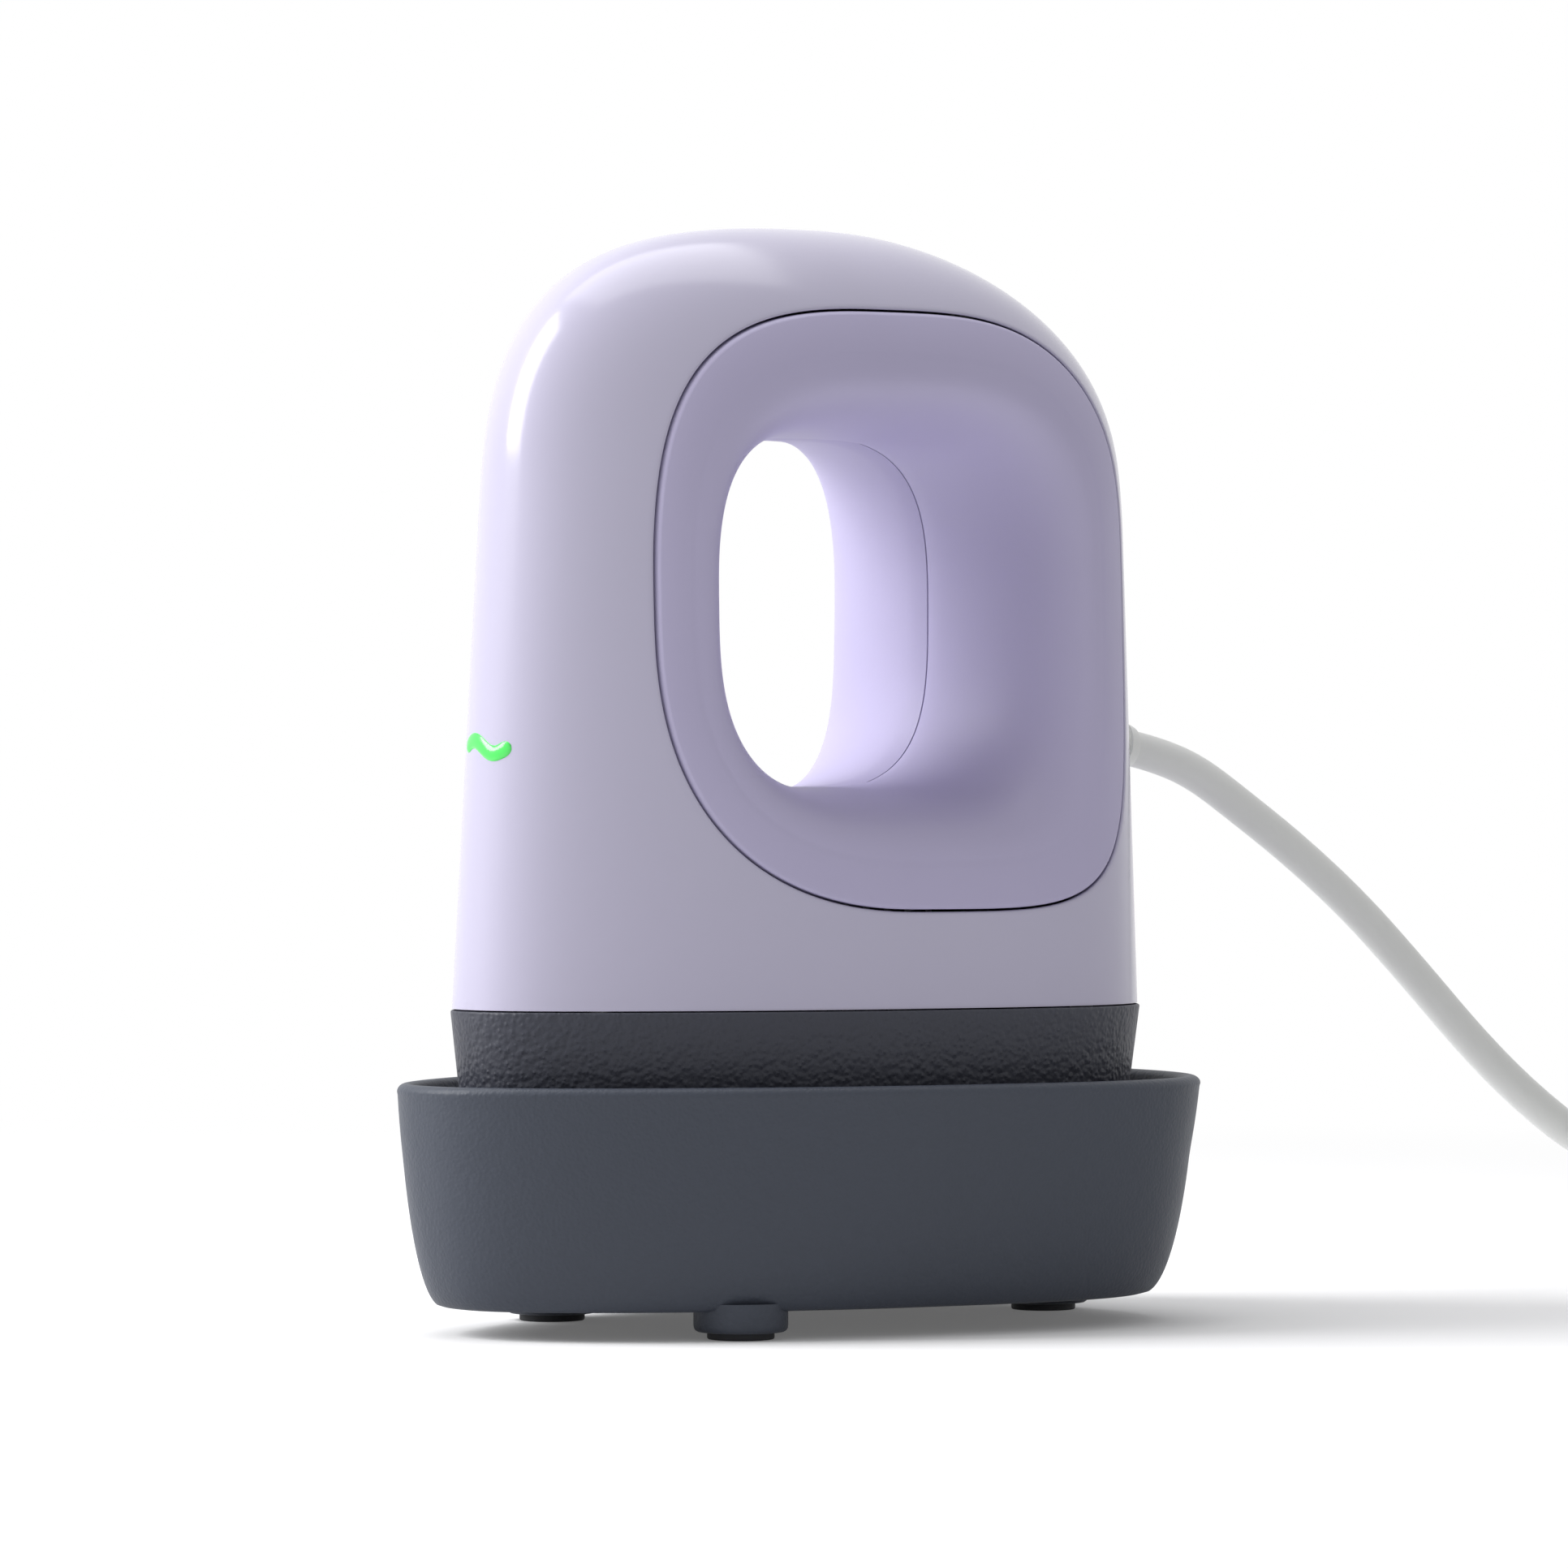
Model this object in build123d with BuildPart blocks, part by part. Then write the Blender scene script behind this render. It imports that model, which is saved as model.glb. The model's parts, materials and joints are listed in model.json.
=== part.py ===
from build123d import *
import math
import os

# Mini handheld heat press standing in its open safety base, in millimetres.
# The origin is on the floor under the middle of the base, +Z is up and +X points
# to the rear, where the cord leaves. The pointed nose with its light is at -X.

# ---- driving dimensions: the plan shape -------------------------------------
# Every outline is four Bezier arcs; a handle is given as a share of its corner.
PLAN_WAIST = 0.39           # the widest place lies this share behind the middle
REAR_HANDLES = (0.454, 0.868)   # along the side, and across the rear
NOSE_HANDLES = (0.425, 0.531)
EVEN_HANDLE = 0.654         # the crown's outline is even all round

# ---- driving dimensions: the press ------------------------------------------
TOP_HEIGHT = 139.9          # crown of the casing
SHELL_FOOT = 40.7           # lower edge of the casing
SHELL_HALF_LENGTH = 47.5
SHELL_HALF_WIDTH = 30.5
LENGTH_TAPER = 0.051        # loss of half length for each mm of height
WIDTH_TAPER = 0.015
REAR_DRIFT = 0.013          # the middle moves back for each mm of height
LENGTH_DOME_DROP = 32.4     # the crown starts to close this far under the top
WIDTH_DOME_DROP = 39.0
LENGTH_DOME_POWER = 2.473
SHELL_WALL = 2.4
SEAM_GAP = 0.3              # joint line between casing, panels and collar

COLLAR_HALF_LENGTH = SHELL_HALF_LENGTH + 0.1
COLLAR_HALF_WIDTH = SHELL_HALF_WIDTH + 0.4
COLLAR_FOOT = 11.0
COLLAR_DRAFT = 3.4          # how far the collar closes in at its lower edge
COLLAR_WALL = 2.2
COLLAR_BEVEL = 0.8
DECK_HEIGHT = 35.0          # under side of the collar's inner deck
DECK_THICK = 2.0

PLATE_HALF_LENGTH = COLLAR_HALF_LENGTH - 6.3
PLATE_HALF_WIDTH = COLLAR_HALF_WIDTH - 6.5
PLATE_FOOT = 9.0
PLATE_THICK = 5.0
PLATE_CLEARANCE = 1.0

# ---- driving dimensions: side panels and hand hole --------------------------
PANEL_X, PANEL_Z = 2.8, 90.8
PANEL_FRONT, PANEL_REAR = 33.8, 35.0
PANEL_HALF_HEIGHT = 37.9
PANEL_CORNERS = (0.814, 0.783, 0.709, 0.909)    # rear top, front top, front low, rear low
HOLE_HALF_LENGTH = 20.75
HOLE_HALF_HEIGHT = 22.25
HOLE_CORNER = 0.814
MOUTH_POWER = 3.0           # how late the hole opens out towards the side
MOUTH_REACH = 1.03          # depth of the mouth against the side of the casing
MOUTH_LEAVES = 0.94         # share of that depth where the mouth's curve turns straight

# ---- driving dimensions: the base -------------------------------------------
RIM_HEIGHT = 31.5
TRAY_FOOT = 3.6
TRAY_GROW = 7.1             # the rim stands this far outside the collar
TRAY_FOOT_GROW = 1.1        # and the lower edge this far
TRAY_WALL = 2.2
TRAY_LIP = 0.6              # bevel along both edges of the rim
TRAY_FLOOR = 2.4
FOOT_PAD_THICK = 0.9
FOOT_PAD_RADIUS = 4.3
LEG_RADIUS = 6.2
LEG_SPOTS = [(-21.6, -21.7), (-21.6, 21.7), (43.0, 0.0)]
BASE_PLATE_THICK = 1.2
BASE_PLATE_INSET = 4.0
REST_PAD_RADIUS = 5.0
REST_SPOTS = [(-24.0, -9.0), (-24.0, 9.0), (24.0, -13.0), (24.0, 13.0)]

# ---- driving dimensions: light, button, cord --------------------------------
LIGHT_Z = 73.5
LIGHT_HALF_SPAN = 4.2
LIGHT_WAVE = 0.75
LIGHT_STROKE = 2.1
BUTTON_Z = 100.0
BUTTON_RADIUS = 5.0
BUTTON_PROUD = 0.7
BUTTON_CLEARANCE = 0.25
BUTTON_TRAVEL = 0.8
CORD_DIAMETER = 4.8
EXIT_X = SHELL_HALF_LENGTH - 1.6     # where the cord's axis meets the rear
EXIT_Z = 75.7
EXIT_DROP = 10.0            # degrees that the cord leaves below level
RELIEF_START, RELIEF_END = -8.6, 11.5
SLIP = 0.05                 # clearance round screws, pins and studs
SCREW_RADIUS = 1.5
SMALL_SCREW_RADIUS = 1.0

# ---- driving dimensions: inside ---------------------------------------------
BOARD_HEIGHT = 46.0
BOARD_THICK = 1.6
BOARD_HALF_LENGTH = 30.0
BOARD_HALF_WIDTH = 19.0
BOARD_SPOTS = [(-21.0, -5.5), (-21.0, 5.5), (22.0, -12.5), (22.0, 12.5)]
STANDOFF_SPOTS = [(-14.0, -7.5), (-14.0, 7.5), (18.0, -10.0), (18.0, 10.0)]
STANDOFF_RADIUS = 2.6
SHIELD_SPOTS = [(-32.0, 0.0), (2.0, -17.5), (2.0, 17.5), (33.0, 0.0)]
SHELL_SCREW_SPOTS = [(-34.0, -9.5), (-34.0, 9.5), (34.0, -19.5), (34.0, 19.5)]
ELEMENT_THICK = 1.2
CLAMP_THICK = 1.2
INSULATION_THICK = 6.6
SHIELD_THICK = 0.8
WIRE_RADIUS = 0.8

os.makedirs("parts", exist_ok=True)


def mix(start, end, share):
    return start + (end - start) * share


def rounded_face(plane, left, right, bottom, top, waist, level, corners):
    """A face bounded by four Bezier arcs.

    The outline touches left and right at the height level, and bottom and top at waist.
    Each corner, anticlockwise from right-top, says how far its two handles reach.
    """
    ends = [(right, top), (left, top), (left, bottom), (right, bottom)]
    with BuildSketch(plane) as face:
        with BuildLine():
            for i, ((side, edge), (along, across)) in enumerate(zip(ends, corners)):
                arc = [
                    (side, level),
                    (side, mix(level, edge, across)),
                    (mix(waist, side, along), edge),
                    (waist, edge),
                ]
                Bezier(*(arc if i % 2 == 0 else arc[::-1]))
        make_face()
    return face.sketch


# ---- plan shape: an egg, pointed at the nose and square at the rear ---------
def plan_shape(half_length, skew, middle):
    """Where the plan is widest, and its handles; skew 1 is the full egg, 0 is even."""
    waist = middle + PLAN_WAIST * skew * half_length
    rear = [mix(EVEN_HANDLE, handle, skew) for handle in REAR_HANDLES]
    nose = [mix(EVEN_HANDLE, handle, skew) for handle in NOSE_HANDLES]
    return waist, rear, nose


def egg_face(z, half_length, half_width, skew=1.0, middle=0.0):
    """A level plan face at height z."""
    waist, rear, nose = plan_shape(half_length, skew, middle)
    left, right = middle - half_length, middle + half_length
    corners = [rear, nose, nose, rear]
    return rounded_face(
        Plane.XY.offset(z), left, right, -half_width, half_width, waist, 0, corners
    )


def casing_size(z, inset=0.0):
    """Half length, half width, skew and middle of the casing at height z."""
    top = TOP_HEIGHT - inset
    rise = z - SHELL_FOOT
    length_start = TOP_HEIGHT - LENGTH_DOME_DROP
    width_start = TOP_HEIGHT - WIDTH_DOME_DROP
    u = max(0.0, (z - length_start) / (top - length_start))
    v = max(0.0, (z - width_start) / (top - width_start))
    close = (1 - u**LENGTH_DOME_POWER) ** (1 / LENGTH_DOME_POWER)
    half_length = (SHELL_HALF_LENGTH - LENGTH_TAPER * rise - inset) * close
    half_width = (SHELL_HALF_WIDTH - WIDTH_TAPER * rise - inset) * math.sqrt(1 - v * v)
    lean = 1 - close
    middle = REAR_DRIFT * rise - 9.16 * lean + 11.6 * lean**2
    return half_length, half_width, close, middle


def casing_faces(start, inset=0.0):
    """Level sections from start to the crown, evenly spaced along the casing's profile."""
    top = TOP_HEIGHT - inset
    dome_start = TOP_HEIGHT - WIDTH_DOME_DROP
    steps = [start + (dome_start - start) * (1 - (1 - i / 7) ** 1.12) for i in range(7)]
    steps += [dome_start + (top - dome_start) * math.sin(math.radians(11 * i)) for i in range(9)]
    faces = []
    for z in steps:
        half_length, half_width, skew, middle = casing_size(z, inset)
        faces.append(egg_face(z, half_length, half_width, skew, middle))
    return faces


def side_reach(x, z):
    """How far the casing's side stands from the middle plane at (x, z)."""
    half_length, half_width, skew, middle = casing_size(z)
    waist, rear, nose = plan_shape(half_length, skew, middle)
    end = middle + half_length if x > waist else middle - half_length
    along, across = rear if x > waist else nose
    goal = min(1.0, (x - waist) / (end - waist))
    low, high = 0.0, 1.0
    for _ in range(30):
        t = (low + high) / 2
        s = 1 - t
        if s**3 + 3 * s * s * t + 3 * s * t * t * along > goal:
            low = t
        else:
            high = t
    return half_width * (3 * s * s * t * across + 3 * s * t * t + t**3)


# ---- side view outlines: the panel's edge and the hand hole ------------------
def side_plane(y):
    """A plane at distance y that looks from -Y, with X across and Z up."""
    return Plane(origin=(0, y, 0), x_dir=(1, 0, 0), z_dir=(0, -1, 0))


def edge_face(grow):
    """The panel's outline, larger by grow, in the middle plane."""
    left, right = PANEL_X - PANEL_FRONT - grow, PANEL_X + PANEL_REAR + grow
    low, high = PANEL_Z - PANEL_HALF_HEIGHT - grow, PANEL_Z + PANEL_HALF_HEIGHT + grow
    corners = [(corner, corner) for corner in PANEL_CORNERS]
    return rounded_face(side_plane(0), left, right, low, high, PANEL_X, PANEL_Z, corners)


def hole_face(grow):
    """The narrow middle of the hand hole, larger by grow."""
    half_length, half_height = HOLE_HALF_LENGTH + grow, HOLE_HALF_HEIGHT + grow
    left, right = PANEL_X - half_length, PANEL_X + half_length
    low, high = PANEL_Z - half_height, PANEL_Z + half_height
    corners = [(HOLE_CORNER, HOLE_CORNER)] * 4
    return rounded_face(side_plane(0), left, right, low, high, PANEL_X, PANEL_Z, corners)


def mouth_share(depth, x, z):
    """How near the hand hole is to its narrow middle, 1 at the middle plane and 0 at the side."""
    share = max(0.0, depth) / (MOUTH_REACH * side_reach(x, z))
    # the curve runs on straight once it is about to leave the casing
    curved = min(share, MOUTH_LEAVES)
    inward = (1 - curved**MOUTH_POWER) ** (1 / MOUTH_POWER)
    slope = (curved / inward) ** (MOUTH_POWER - 1)
    return inward - slope * (share - curved)


def mouth_face(depth):
    """A section of the hand hole at a distance from the middle plane, on the -Y side."""
    left, right = PANEL_X - PANEL_FRONT, PANEL_X + PANEL_REAR
    low, high = PANEL_Z - PANEL_HALF_HEIGHT, PANEL_Z + PANEL_HALF_HEIGHT
    rear, nose = mouth_share(depth, right, PANEL_Z), mouth_share(depth, left, PANEL_Z)
    crown, foot = mouth_share(depth, PANEL_X, high), mouth_share(depth, PANEL_X, low)
    corners = []
    for corner, across, up in zip(PANEL_CORNERS, (rear, nose, nose, rear), (crown, crown, foot, foot)):
        handle = mix(corner, HOLE_CORNER, max(0.0, (across + up) / 2))
        corners.append((handle, handle))
    return rounded_face(
        side_plane(-depth),
        mix(left, PANEL_X - HOLE_HALF_LENGTH, nose),
        mix(right, PANEL_X + HOLE_HALF_LENGTH, rear),
        mix(low, PANEL_Z - HOLE_HALF_HEIGHT, foot),
        mix(high, PANEL_Z + HOLE_HALF_HEIGHT, crown),
        PANEL_X,
        PANEL_Z,
        corners,
    )


def mouth_faces():
    """Sections of the opening-out hole, from just past the middle plane towards -Y."""
    count = round(SHELL_HALF_WIDTH / 2.5)
    return [mouth_face(-1.0 + i * (SHELL_HALF_WIDTH + 3) / count) for i in range(count + 1)]


def screws(base, spots, head_z, tip_z, radius, head_radius, head_height):
    """Identical pan-head screws standing on a plane; the head lies beyond head_z."""
    away = 1 if head_z > tip_z else -1
    with BuildPart() as group:
        with BuildSketch(base.offset(tip_z)):
            with Locations(*spots):
                Circle(radius)
        extrude(amount=head_z - tip_z)
        with BuildSketch(base.offset(head_z)):
            with Locations(*spots):
                Circle(head_radius)
        extrude(amount=away * head_height)
    return group.part


def cord_plane(along):
    """A plane across the cord's axis near its exit: +Y across, then up."""
    drop = math.radians(EXIT_DROP)
    heading = Vector(math.cos(drop), 0, -math.sin(drop))
    return Plane(origin=Vector(EXIT_X, 0, EXIT_Z) + heading * along, x_dir=(0, 1, 0), z_dir=heading)


def clamp_plane(rise):
    """A plane along the cord's axis near its exit, rise above it: outwards, then +Y."""
    drop = math.radians(EXIT_DROP)
    up = Vector(math.sin(drop), 0, math.cos(drop))
    out = (math.cos(drop), 0, -math.sin(drop))
    return Plane(origin=Vector(EXIT_X, 0, EXIT_Z) + up * rise, x_dir=out, z_dir=up)


# ==== base ===================================================================
def tray_face(z, grow):
    """A level section of the tray, measured from the collar's plan."""
    return egg_face(z, COLLAR_HALF_LENGTH + grow, COLLAR_HALF_WIDTH + grow)


def tray_growth(rise):
    """How far the tray's side stands outside the collar; it turns in at the foot."""
    share = 1 - rise / (LIP_FOOT - TRAY_FOOT)
    return TRAY_FOOT_GROW + (TRAY_GROW - TRAY_FOOT_GROW) * math.sqrt(1 - share**1.6)


LIP_FOOT = RIM_HEIGHT - TRAY_LIP
TRAY_RISES = [(LIP_FOOT - TRAY_FOOT) * (i / 10) ** 1.6 for i in range(11)]
TRAY_BED = TRAY_FOOT + BASE_PLATE_THICK + TRAY_FLOOR

with BuildPart() as base_tray:
    loft(sections=[tray_face(TRAY_FOOT + rise, tray_growth(rise)) for rise in TRAY_RISES])
    loft(sections=[tray_face(LIP_FOOT, TRAY_GROW), tray_face(RIM_HEIGHT, TRAY_GROW - TRAY_LIP)])
    bed = tray_face(TRAY_BED, tray_growth(TRAY_BED - TRAY_FOOT) - TRAY_WALL)
    lip_inside = TRAY_GROW - TRAY_WALL
    loft(sections=[bed, tray_face(LIP_FOOT, lip_inside)], mode=Mode.SUBTRACT)
    lip_room = [tray_face(LIP_FOOT, lip_inside), tray_face(RIM_HEIGHT, lip_inside + TRAY_LIP)]
    loft(sections=lip_room, mode=Mode.SUBTRACT)
    # recess for the plate under the tray
    extrude(tray_face(TRAY_FOOT, -BASE_PLATE_INSET + SEAM_GAP), BASE_PLATE_THICK, mode=Mode.SUBTRACT)
    with BuildSketch(Plane.XY.offset(FOOT_PAD_THICK)):
        with Locations(*LEG_SPOTS):
            Circle(LEG_RADIUS)
    extrude(amount=TRAY_FOOT + BASE_PLATE_THICK - FOOT_PAD_THICK + 0.5)
base_tray.part.label = "base_tray"

with BuildPart() as base_plate:
    extrude(tray_face(TRAY_FOOT, -BASE_PLATE_INSET), BASE_PLATE_THICK)
    with BuildSketch(Plane.XY.offset(TRAY_FOOT)):
        with Locations(*LEG_SPOTS):
            Circle(LEG_RADIUS + SEAM_GAP)
    extrude(amount=BASE_PLATE_THICK, mode=Mode.SUBTRACT)
base_plate.part.label = "base_plate"

with BuildPart() as foot_pads:
    with BuildSketch(Plane.XY):
        with Locations(*LEG_SPOTS):
            Circle(FOOT_PAD_RADIUS)
    extrude(amount=FOOT_PAD_THICK)
foot_pads.part.label = "foot_pads"

with BuildPart() as rest_pads:
    with BuildSketch(Plane.XY.offset(TRAY_BED)):
        with Locations(*REST_SPOTS):
            Circle(REST_PAD_RADIUS)
    extrude(amount=PLATE_FOOT - TRAY_BED)
rest_pads.part.label = "rest_pads"

# ==== hot end ================================================================
PLATE_TOP = PLATE_FOOT + PLATE_THICK
CLAMP_TOP = PLATE_TOP + ELEMENT_THICK + CLAMP_THICK
PAD_TOP = CLAMP_TOP + INSULATION_THICK
STUD_DEPTH = 3.0

with BuildPart() as heat_plate:
    extrude(egg_face(PLATE_FOOT, PLATE_HALF_LENGTH, PLATE_HALF_WIDTH), PLATE_THICK)
    fillet(heat_plate.edges().group_by(Axis.Z)[0], radius=1.0)
    with Locations(Plane.XY.offset(PLATE_TOP)):
        with Locations(*STANDOFF_SPOTS):
            Hole(SCREW_RADIUS, depth=STUD_DEPTH)
heat_plate.part.label = "heat_plate"


def pierced_layer(foot, thick, length_inset, width_inset, spots, hole_radius):
    """A flat layer of the plate's plan, pierced where something passes."""
    face = egg_face(foot, PLATE_HALF_LENGTH - length_inset, PLATE_HALF_WIDTH - width_inset)
    with BuildPart() as layer:
        extrude(face, thick)
        with BuildSketch(Plane.XY.offset(foot)):
            with Locations(*spots):
                Circle(hole_radius)
        extrude(amount=thick, mode=Mode.SUBTRACT)
    return layer.part


PASS_RADIUS = STANDOFF_RADIUS + SEAM_GAP
with BuildPart() as heating_element:
    add(pierced_layer(PLATE_TOP, ELEMENT_THICK, 8.0, 6.0, STANDOFF_SPOTS, PASS_RADIUS))
heating_element.part.label = "heating_element"

with BuildPart() as element_clamp:
    add(pierced_layer(PLATE_TOP + ELEMENT_THICK, CLAMP_THICK, 9.0, 7.0, STANDOFF_SPOTS, PASS_RADIUS))
element_clamp.part.label = "element_clamp"

WINDOW_LENGTH, WINDOW_WIDTH = 22.0, 12.0
with BuildPart() as insulation_pad:
    add(pierced_layer(CLAMP_TOP, INSULATION_THICK, 12.3, 8.4, STANDOFF_SPOTS, PASS_RADIUS))
    with BuildSketch(Plane.XY.offset(CLAMP_TOP)):
        RectangleRounded(WINDOW_LENGTH, WINDOW_WIDTH, 2)
    extrude(amount=INSULATION_THICK, mode=Mode.SUBTRACT)
insulation_pad.part.label = "insulation_pad"

SHIELD_FOOT = PAD_TOP + 1.0
SHIELD_TOP = SHIELD_FOOT + SHIELD_THICK
WIRE_SPOTS = [(9.0, -3.0), (9.0, 3.0)]
with BuildPart() as heat_shield:
    extrude(egg_face(SHIELD_FOOT - 3, PLATE_HALF_LENGTH - 2, PLATE_HALF_WIDTH - 2), 3 + SHIELD_THICK)
    inner_pan = egg_face(SHIELD_FOOT - 3, PLATE_HALF_LENGTH - 2.8, PLATE_HALF_WIDTH - 2.8)
    extrude(inner_pan, 3, mode=Mode.SUBTRACT)
    with BuildSketch(Plane.XY.offset(SHIELD_FOOT)):
        with Locations(*STANDOFF_SPOTS, *SHIELD_SPOTS):
            Circle(SMALL_SCREW_RADIUS + SLIP)
        with Locations(*WIRE_SPOTS):
            Circle(WIRE_RADIUS + 0.6)
    extrude(amount=SHIELD_THICK, mode=Mode.SUBTRACT)
heat_shield.part.label = "heat_shield"

with BuildPart() as standoffs:
    with BuildSketch(Plane.XY.offset(PLATE_TOP)):
        with Locations(*STANDOFF_SPOTS):
            RegularPolygon(STANDOFF_RADIUS, 6)
    extrude(amount=SHIELD_FOOT - PLATE_TOP)
    with BuildSketch(Plane.XY.offset(PLATE_TOP - STUD_DEPTH + 0.2)):
        with Locations(*STANDOFF_SPOTS):
            Circle(SCREW_RADIUS - SLIP)
    extrude(amount=STUD_DEPTH - 0.2)
    with Locations(Plane.XY.offset(SHIELD_FOOT)):
        with Locations(*STANDOFF_SPOTS):
            Hole(SMALL_SCREW_RADIUS + SLIP, depth=5)
standoffs.part.label = "standoffs"

with BuildPart() as plate_screws:
    add(screws(Plane.XY, STANDOFF_SPOTS, SHIELD_TOP, SHIELD_TOP - 5, SMALL_SCREW_RADIUS, 2.0, 1.3))
plate_screws.part.label = "plate_screws"

with BuildPart() as shield_screws:
    add(screws(Plane.XY, SHIELD_SPOTS, SHIELD_FOOT, SHIELD_FOOT + 6, SMALL_SCREW_RADIUS, 1.8, 0.9))
shield_screws.part.label = "shield_screws"

FUSE_RADIUS, BEAD_RADIUS = 2.0, 1.3
with BuildPart() as thermal_fuse:
    with BuildSketch(Plane.YZ.offset(-9)):
        with Locations((-3.0, CLAMP_TOP + FUSE_RADIUS)):
            Circle(FUSE_RADIUS)
    extrude(amount=13)
    fillet(thermal_fuse.edges().group_by(Axis.X)[0], radius=0.8)
thermal_fuse.part.label = "thermal_fuse"

with BuildPart() as thermistor:
    with BuildSketch(Plane.YZ.offset(-5)):
        with Locations((3.0, CLAMP_TOP + BEAD_RADIUS)):
            Circle(BEAD_RADIUS)
    extrude(amount=9)
    fillet(thermistor.edges().group_by(Axis.X)[0], radius=0.9)
thermistor.part.label = "thermistor"

with BuildPart() as heater_wires:
    with BuildSketch(Plane.XY.offset(CLAMP_TOP)):
        with Locations(*WIRE_SPOTS):
            Circle(WIRE_RADIUS)
    extrude(amount=BOARD_HEIGHT - CLAMP_TOP)
heater_wires.part.label = "heater_wires"

# ==== collar =================================================================
DECK_TOP = DECK_HEIGHT + DECK_THICK
COLLAR_TOP = SHELL_FOOT - SEAM_GAP
SPIGOT_TOP = SHELL_FOOT + 3.0
POST_RADIUS = 3.0
WIRE_LIP_HEIGHT = 5.0       # of the lip round the hole that the heater's wires pass


def collar_face(z, inset):
    """A level section of the collar, which closes in towards its lower edge."""
    drop = (COLLAR_TOP - z) / (COLLAR_TOP - COLLAR_FOOT)
    close = COLLAR_DRAFT * drop + inset
    return egg_face(z, COLLAR_HALF_LENGTH - close, COLLAR_HALF_WIDTH - close)


with BuildPart() as collar:
    bevel_top = COLLAR_FOOT + COLLAR_BEVEL
    loft(sections=[collar_face(COLLAR_FOOT, COLLAR_BEVEL), collar_face(bevel_top, 0)])
    loft(sections=[collar_face(bevel_top, 0), collar_face(COLLAR_TOP, 0)])
    plate_gap = egg_face(
        COLLAR_FOOT, PLATE_HALF_LENGTH + PLATE_CLEARANCE, PLATE_HALF_WIDTH + PLATE_CLEARANCE
    )
    loft(sections=[plate_gap, collar_face(DECK_HEIGHT, COLLAR_WALL)], mode=Mode.SUBTRACT)
    upper_room = [collar_face(z, COLLAR_WALL) for z in (DECK_TOP, COLLAR_TOP)]
    loft(sections=upper_room, mode=Mode.SUBTRACT)
    # spigot that centres the casing
    spigot = SHELL_WALL + SEAM_GAP
    extrude(egg_face(DECK_TOP, SHELL_HALF_LENGTH - spigot, SHELL_HALF_WIDTH - spigot), SPIGOT_TOP - DECK_TOP)
    hollow = spigot + 1.4
    spigot_room = egg_face(DECK_TOP, SHELL_HALF_LENGTH - hollow, SHELL_HALF_WIDTH - hollow)
    extrude(spigot_room, SPIGOT_TOP - DECK_TOP, mode=Mode.SUBTRACT)
    # clearance in the spigot for the casing's screw bosses
    with BuildSketch(Plane.XY.offset(DECK_TOP)):
        with Locations(*SHELL_SCREW_SPOTS):
            Circle(POST_RADIUS + 0.5)
    extrude(amount=SPIGOT_TOP - DECK_TOP, mode=Mode.SUBTRACT)
    # posts that carry the control board, and posts that carry the heat shield
    with BuildSketch(Plane.XY.offset(DECK_TOP)):
        with Locations(*BOARD_SPOTS):
            Circle(POST_RADIUS)
    extrude(amount=BOARD_HEIGHT - DECK_TOP)
    with BuildSketch(Plane.XY.offset(SHIELD_TOP)):
        with Locations(*SHIELD_SPOTS):
            Circle(POST_RADIUS)
    extrude(amount=DECK_HEIGHT - SHIELD_TOP)
    with Locations(Plane.XY.offset(BOARD_HEIGHT)):
        with Locations(*BOARD_SPOTS):
            Hole(SMALL_SCREW_RADIUS + SLIP, depth=7)
    with BuildSketch(Plane.XY.offset(SHIELD_TOP)):
        with Locations(*SHIELD_SPOTS):
            Circle(SMALL_SCREW_RADIUS + SLIP)
    extrude(amount=6, mode=Mode.SUBTRACT)
    # wire hole, with a raised lip that keeps the wires off the deck's edge
    with BuildSketch(Plane.XY.offset(DECK_TOP)):
        with Locations((WIRE_SPOTS[0][0], 0)):
            SlotOverall(12, 7, rotation=90)
    extrude(amount=WIRE_LIP_HEIGHT)
    with BuildSketch(Plane.XY.offset(DECK_HEIGHT)):
        with Locations((WIRE_SPOTS[0][0], 0)):
            SlotOverall(9, 4, rotation=90)
    extrude(amount=DECK_THICK + WIRE_LIP_HEIGHT, mode=Mode.SUBTRACT)
    # screw holes and warm air slots through the deck
    with BuildSketch(Plane.XY.offset(DECK_HEIGHT)):
        with Locations(*SHELL_SCREW_SPOTS):
            Circle(SCREW_RADIUS + SLIP)
        with GridLocations(7, 22, 3, 2):
            SlotOverall(9, 3, rotation=90)
    extrude(amount=DECK_THICK, mode=Mode.SUBTRACT)
collar.part.label = "collar"

# ==== casing =================================================================
with BuildPart() as casing_block:
    loft(sections=casing_faces(SHELL_FOOT))

with BuildPart() as casing_room:
    loft(sections=casing_faces(SHELL_FOOT - 1.0, SHELL_WALL))

# everything moulded on inside ends halfway through the casing's wall
with BuildPart() as casing_middle:
    loft(sections=casing_faces(DECK_TOP, SHELL_WALL / 2))


def wave_face(x, extra=0.0):
    """The light's wavy outline: one full wave drawn with a round pen."""
    points = []
    for i in range(9):
        along = -1 + i / 4
        points.append((along * LIGHT_HALF_SPAN, LIGHT_Z - LIGHT_WAVE * math.sin(math.pi * along)))
    with BuildSketch(Plane.YZ.offset(x)) as wave:
        with BuildLine() as middle:
            Spline(*points)
        trace(line_width=LIGHT_STROKE + 2 * extra)
        with Locations(points[0], points[-1]):
            Circle(LIGHT_STROKE / 2 + extra)
    return wave.sketch


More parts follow.
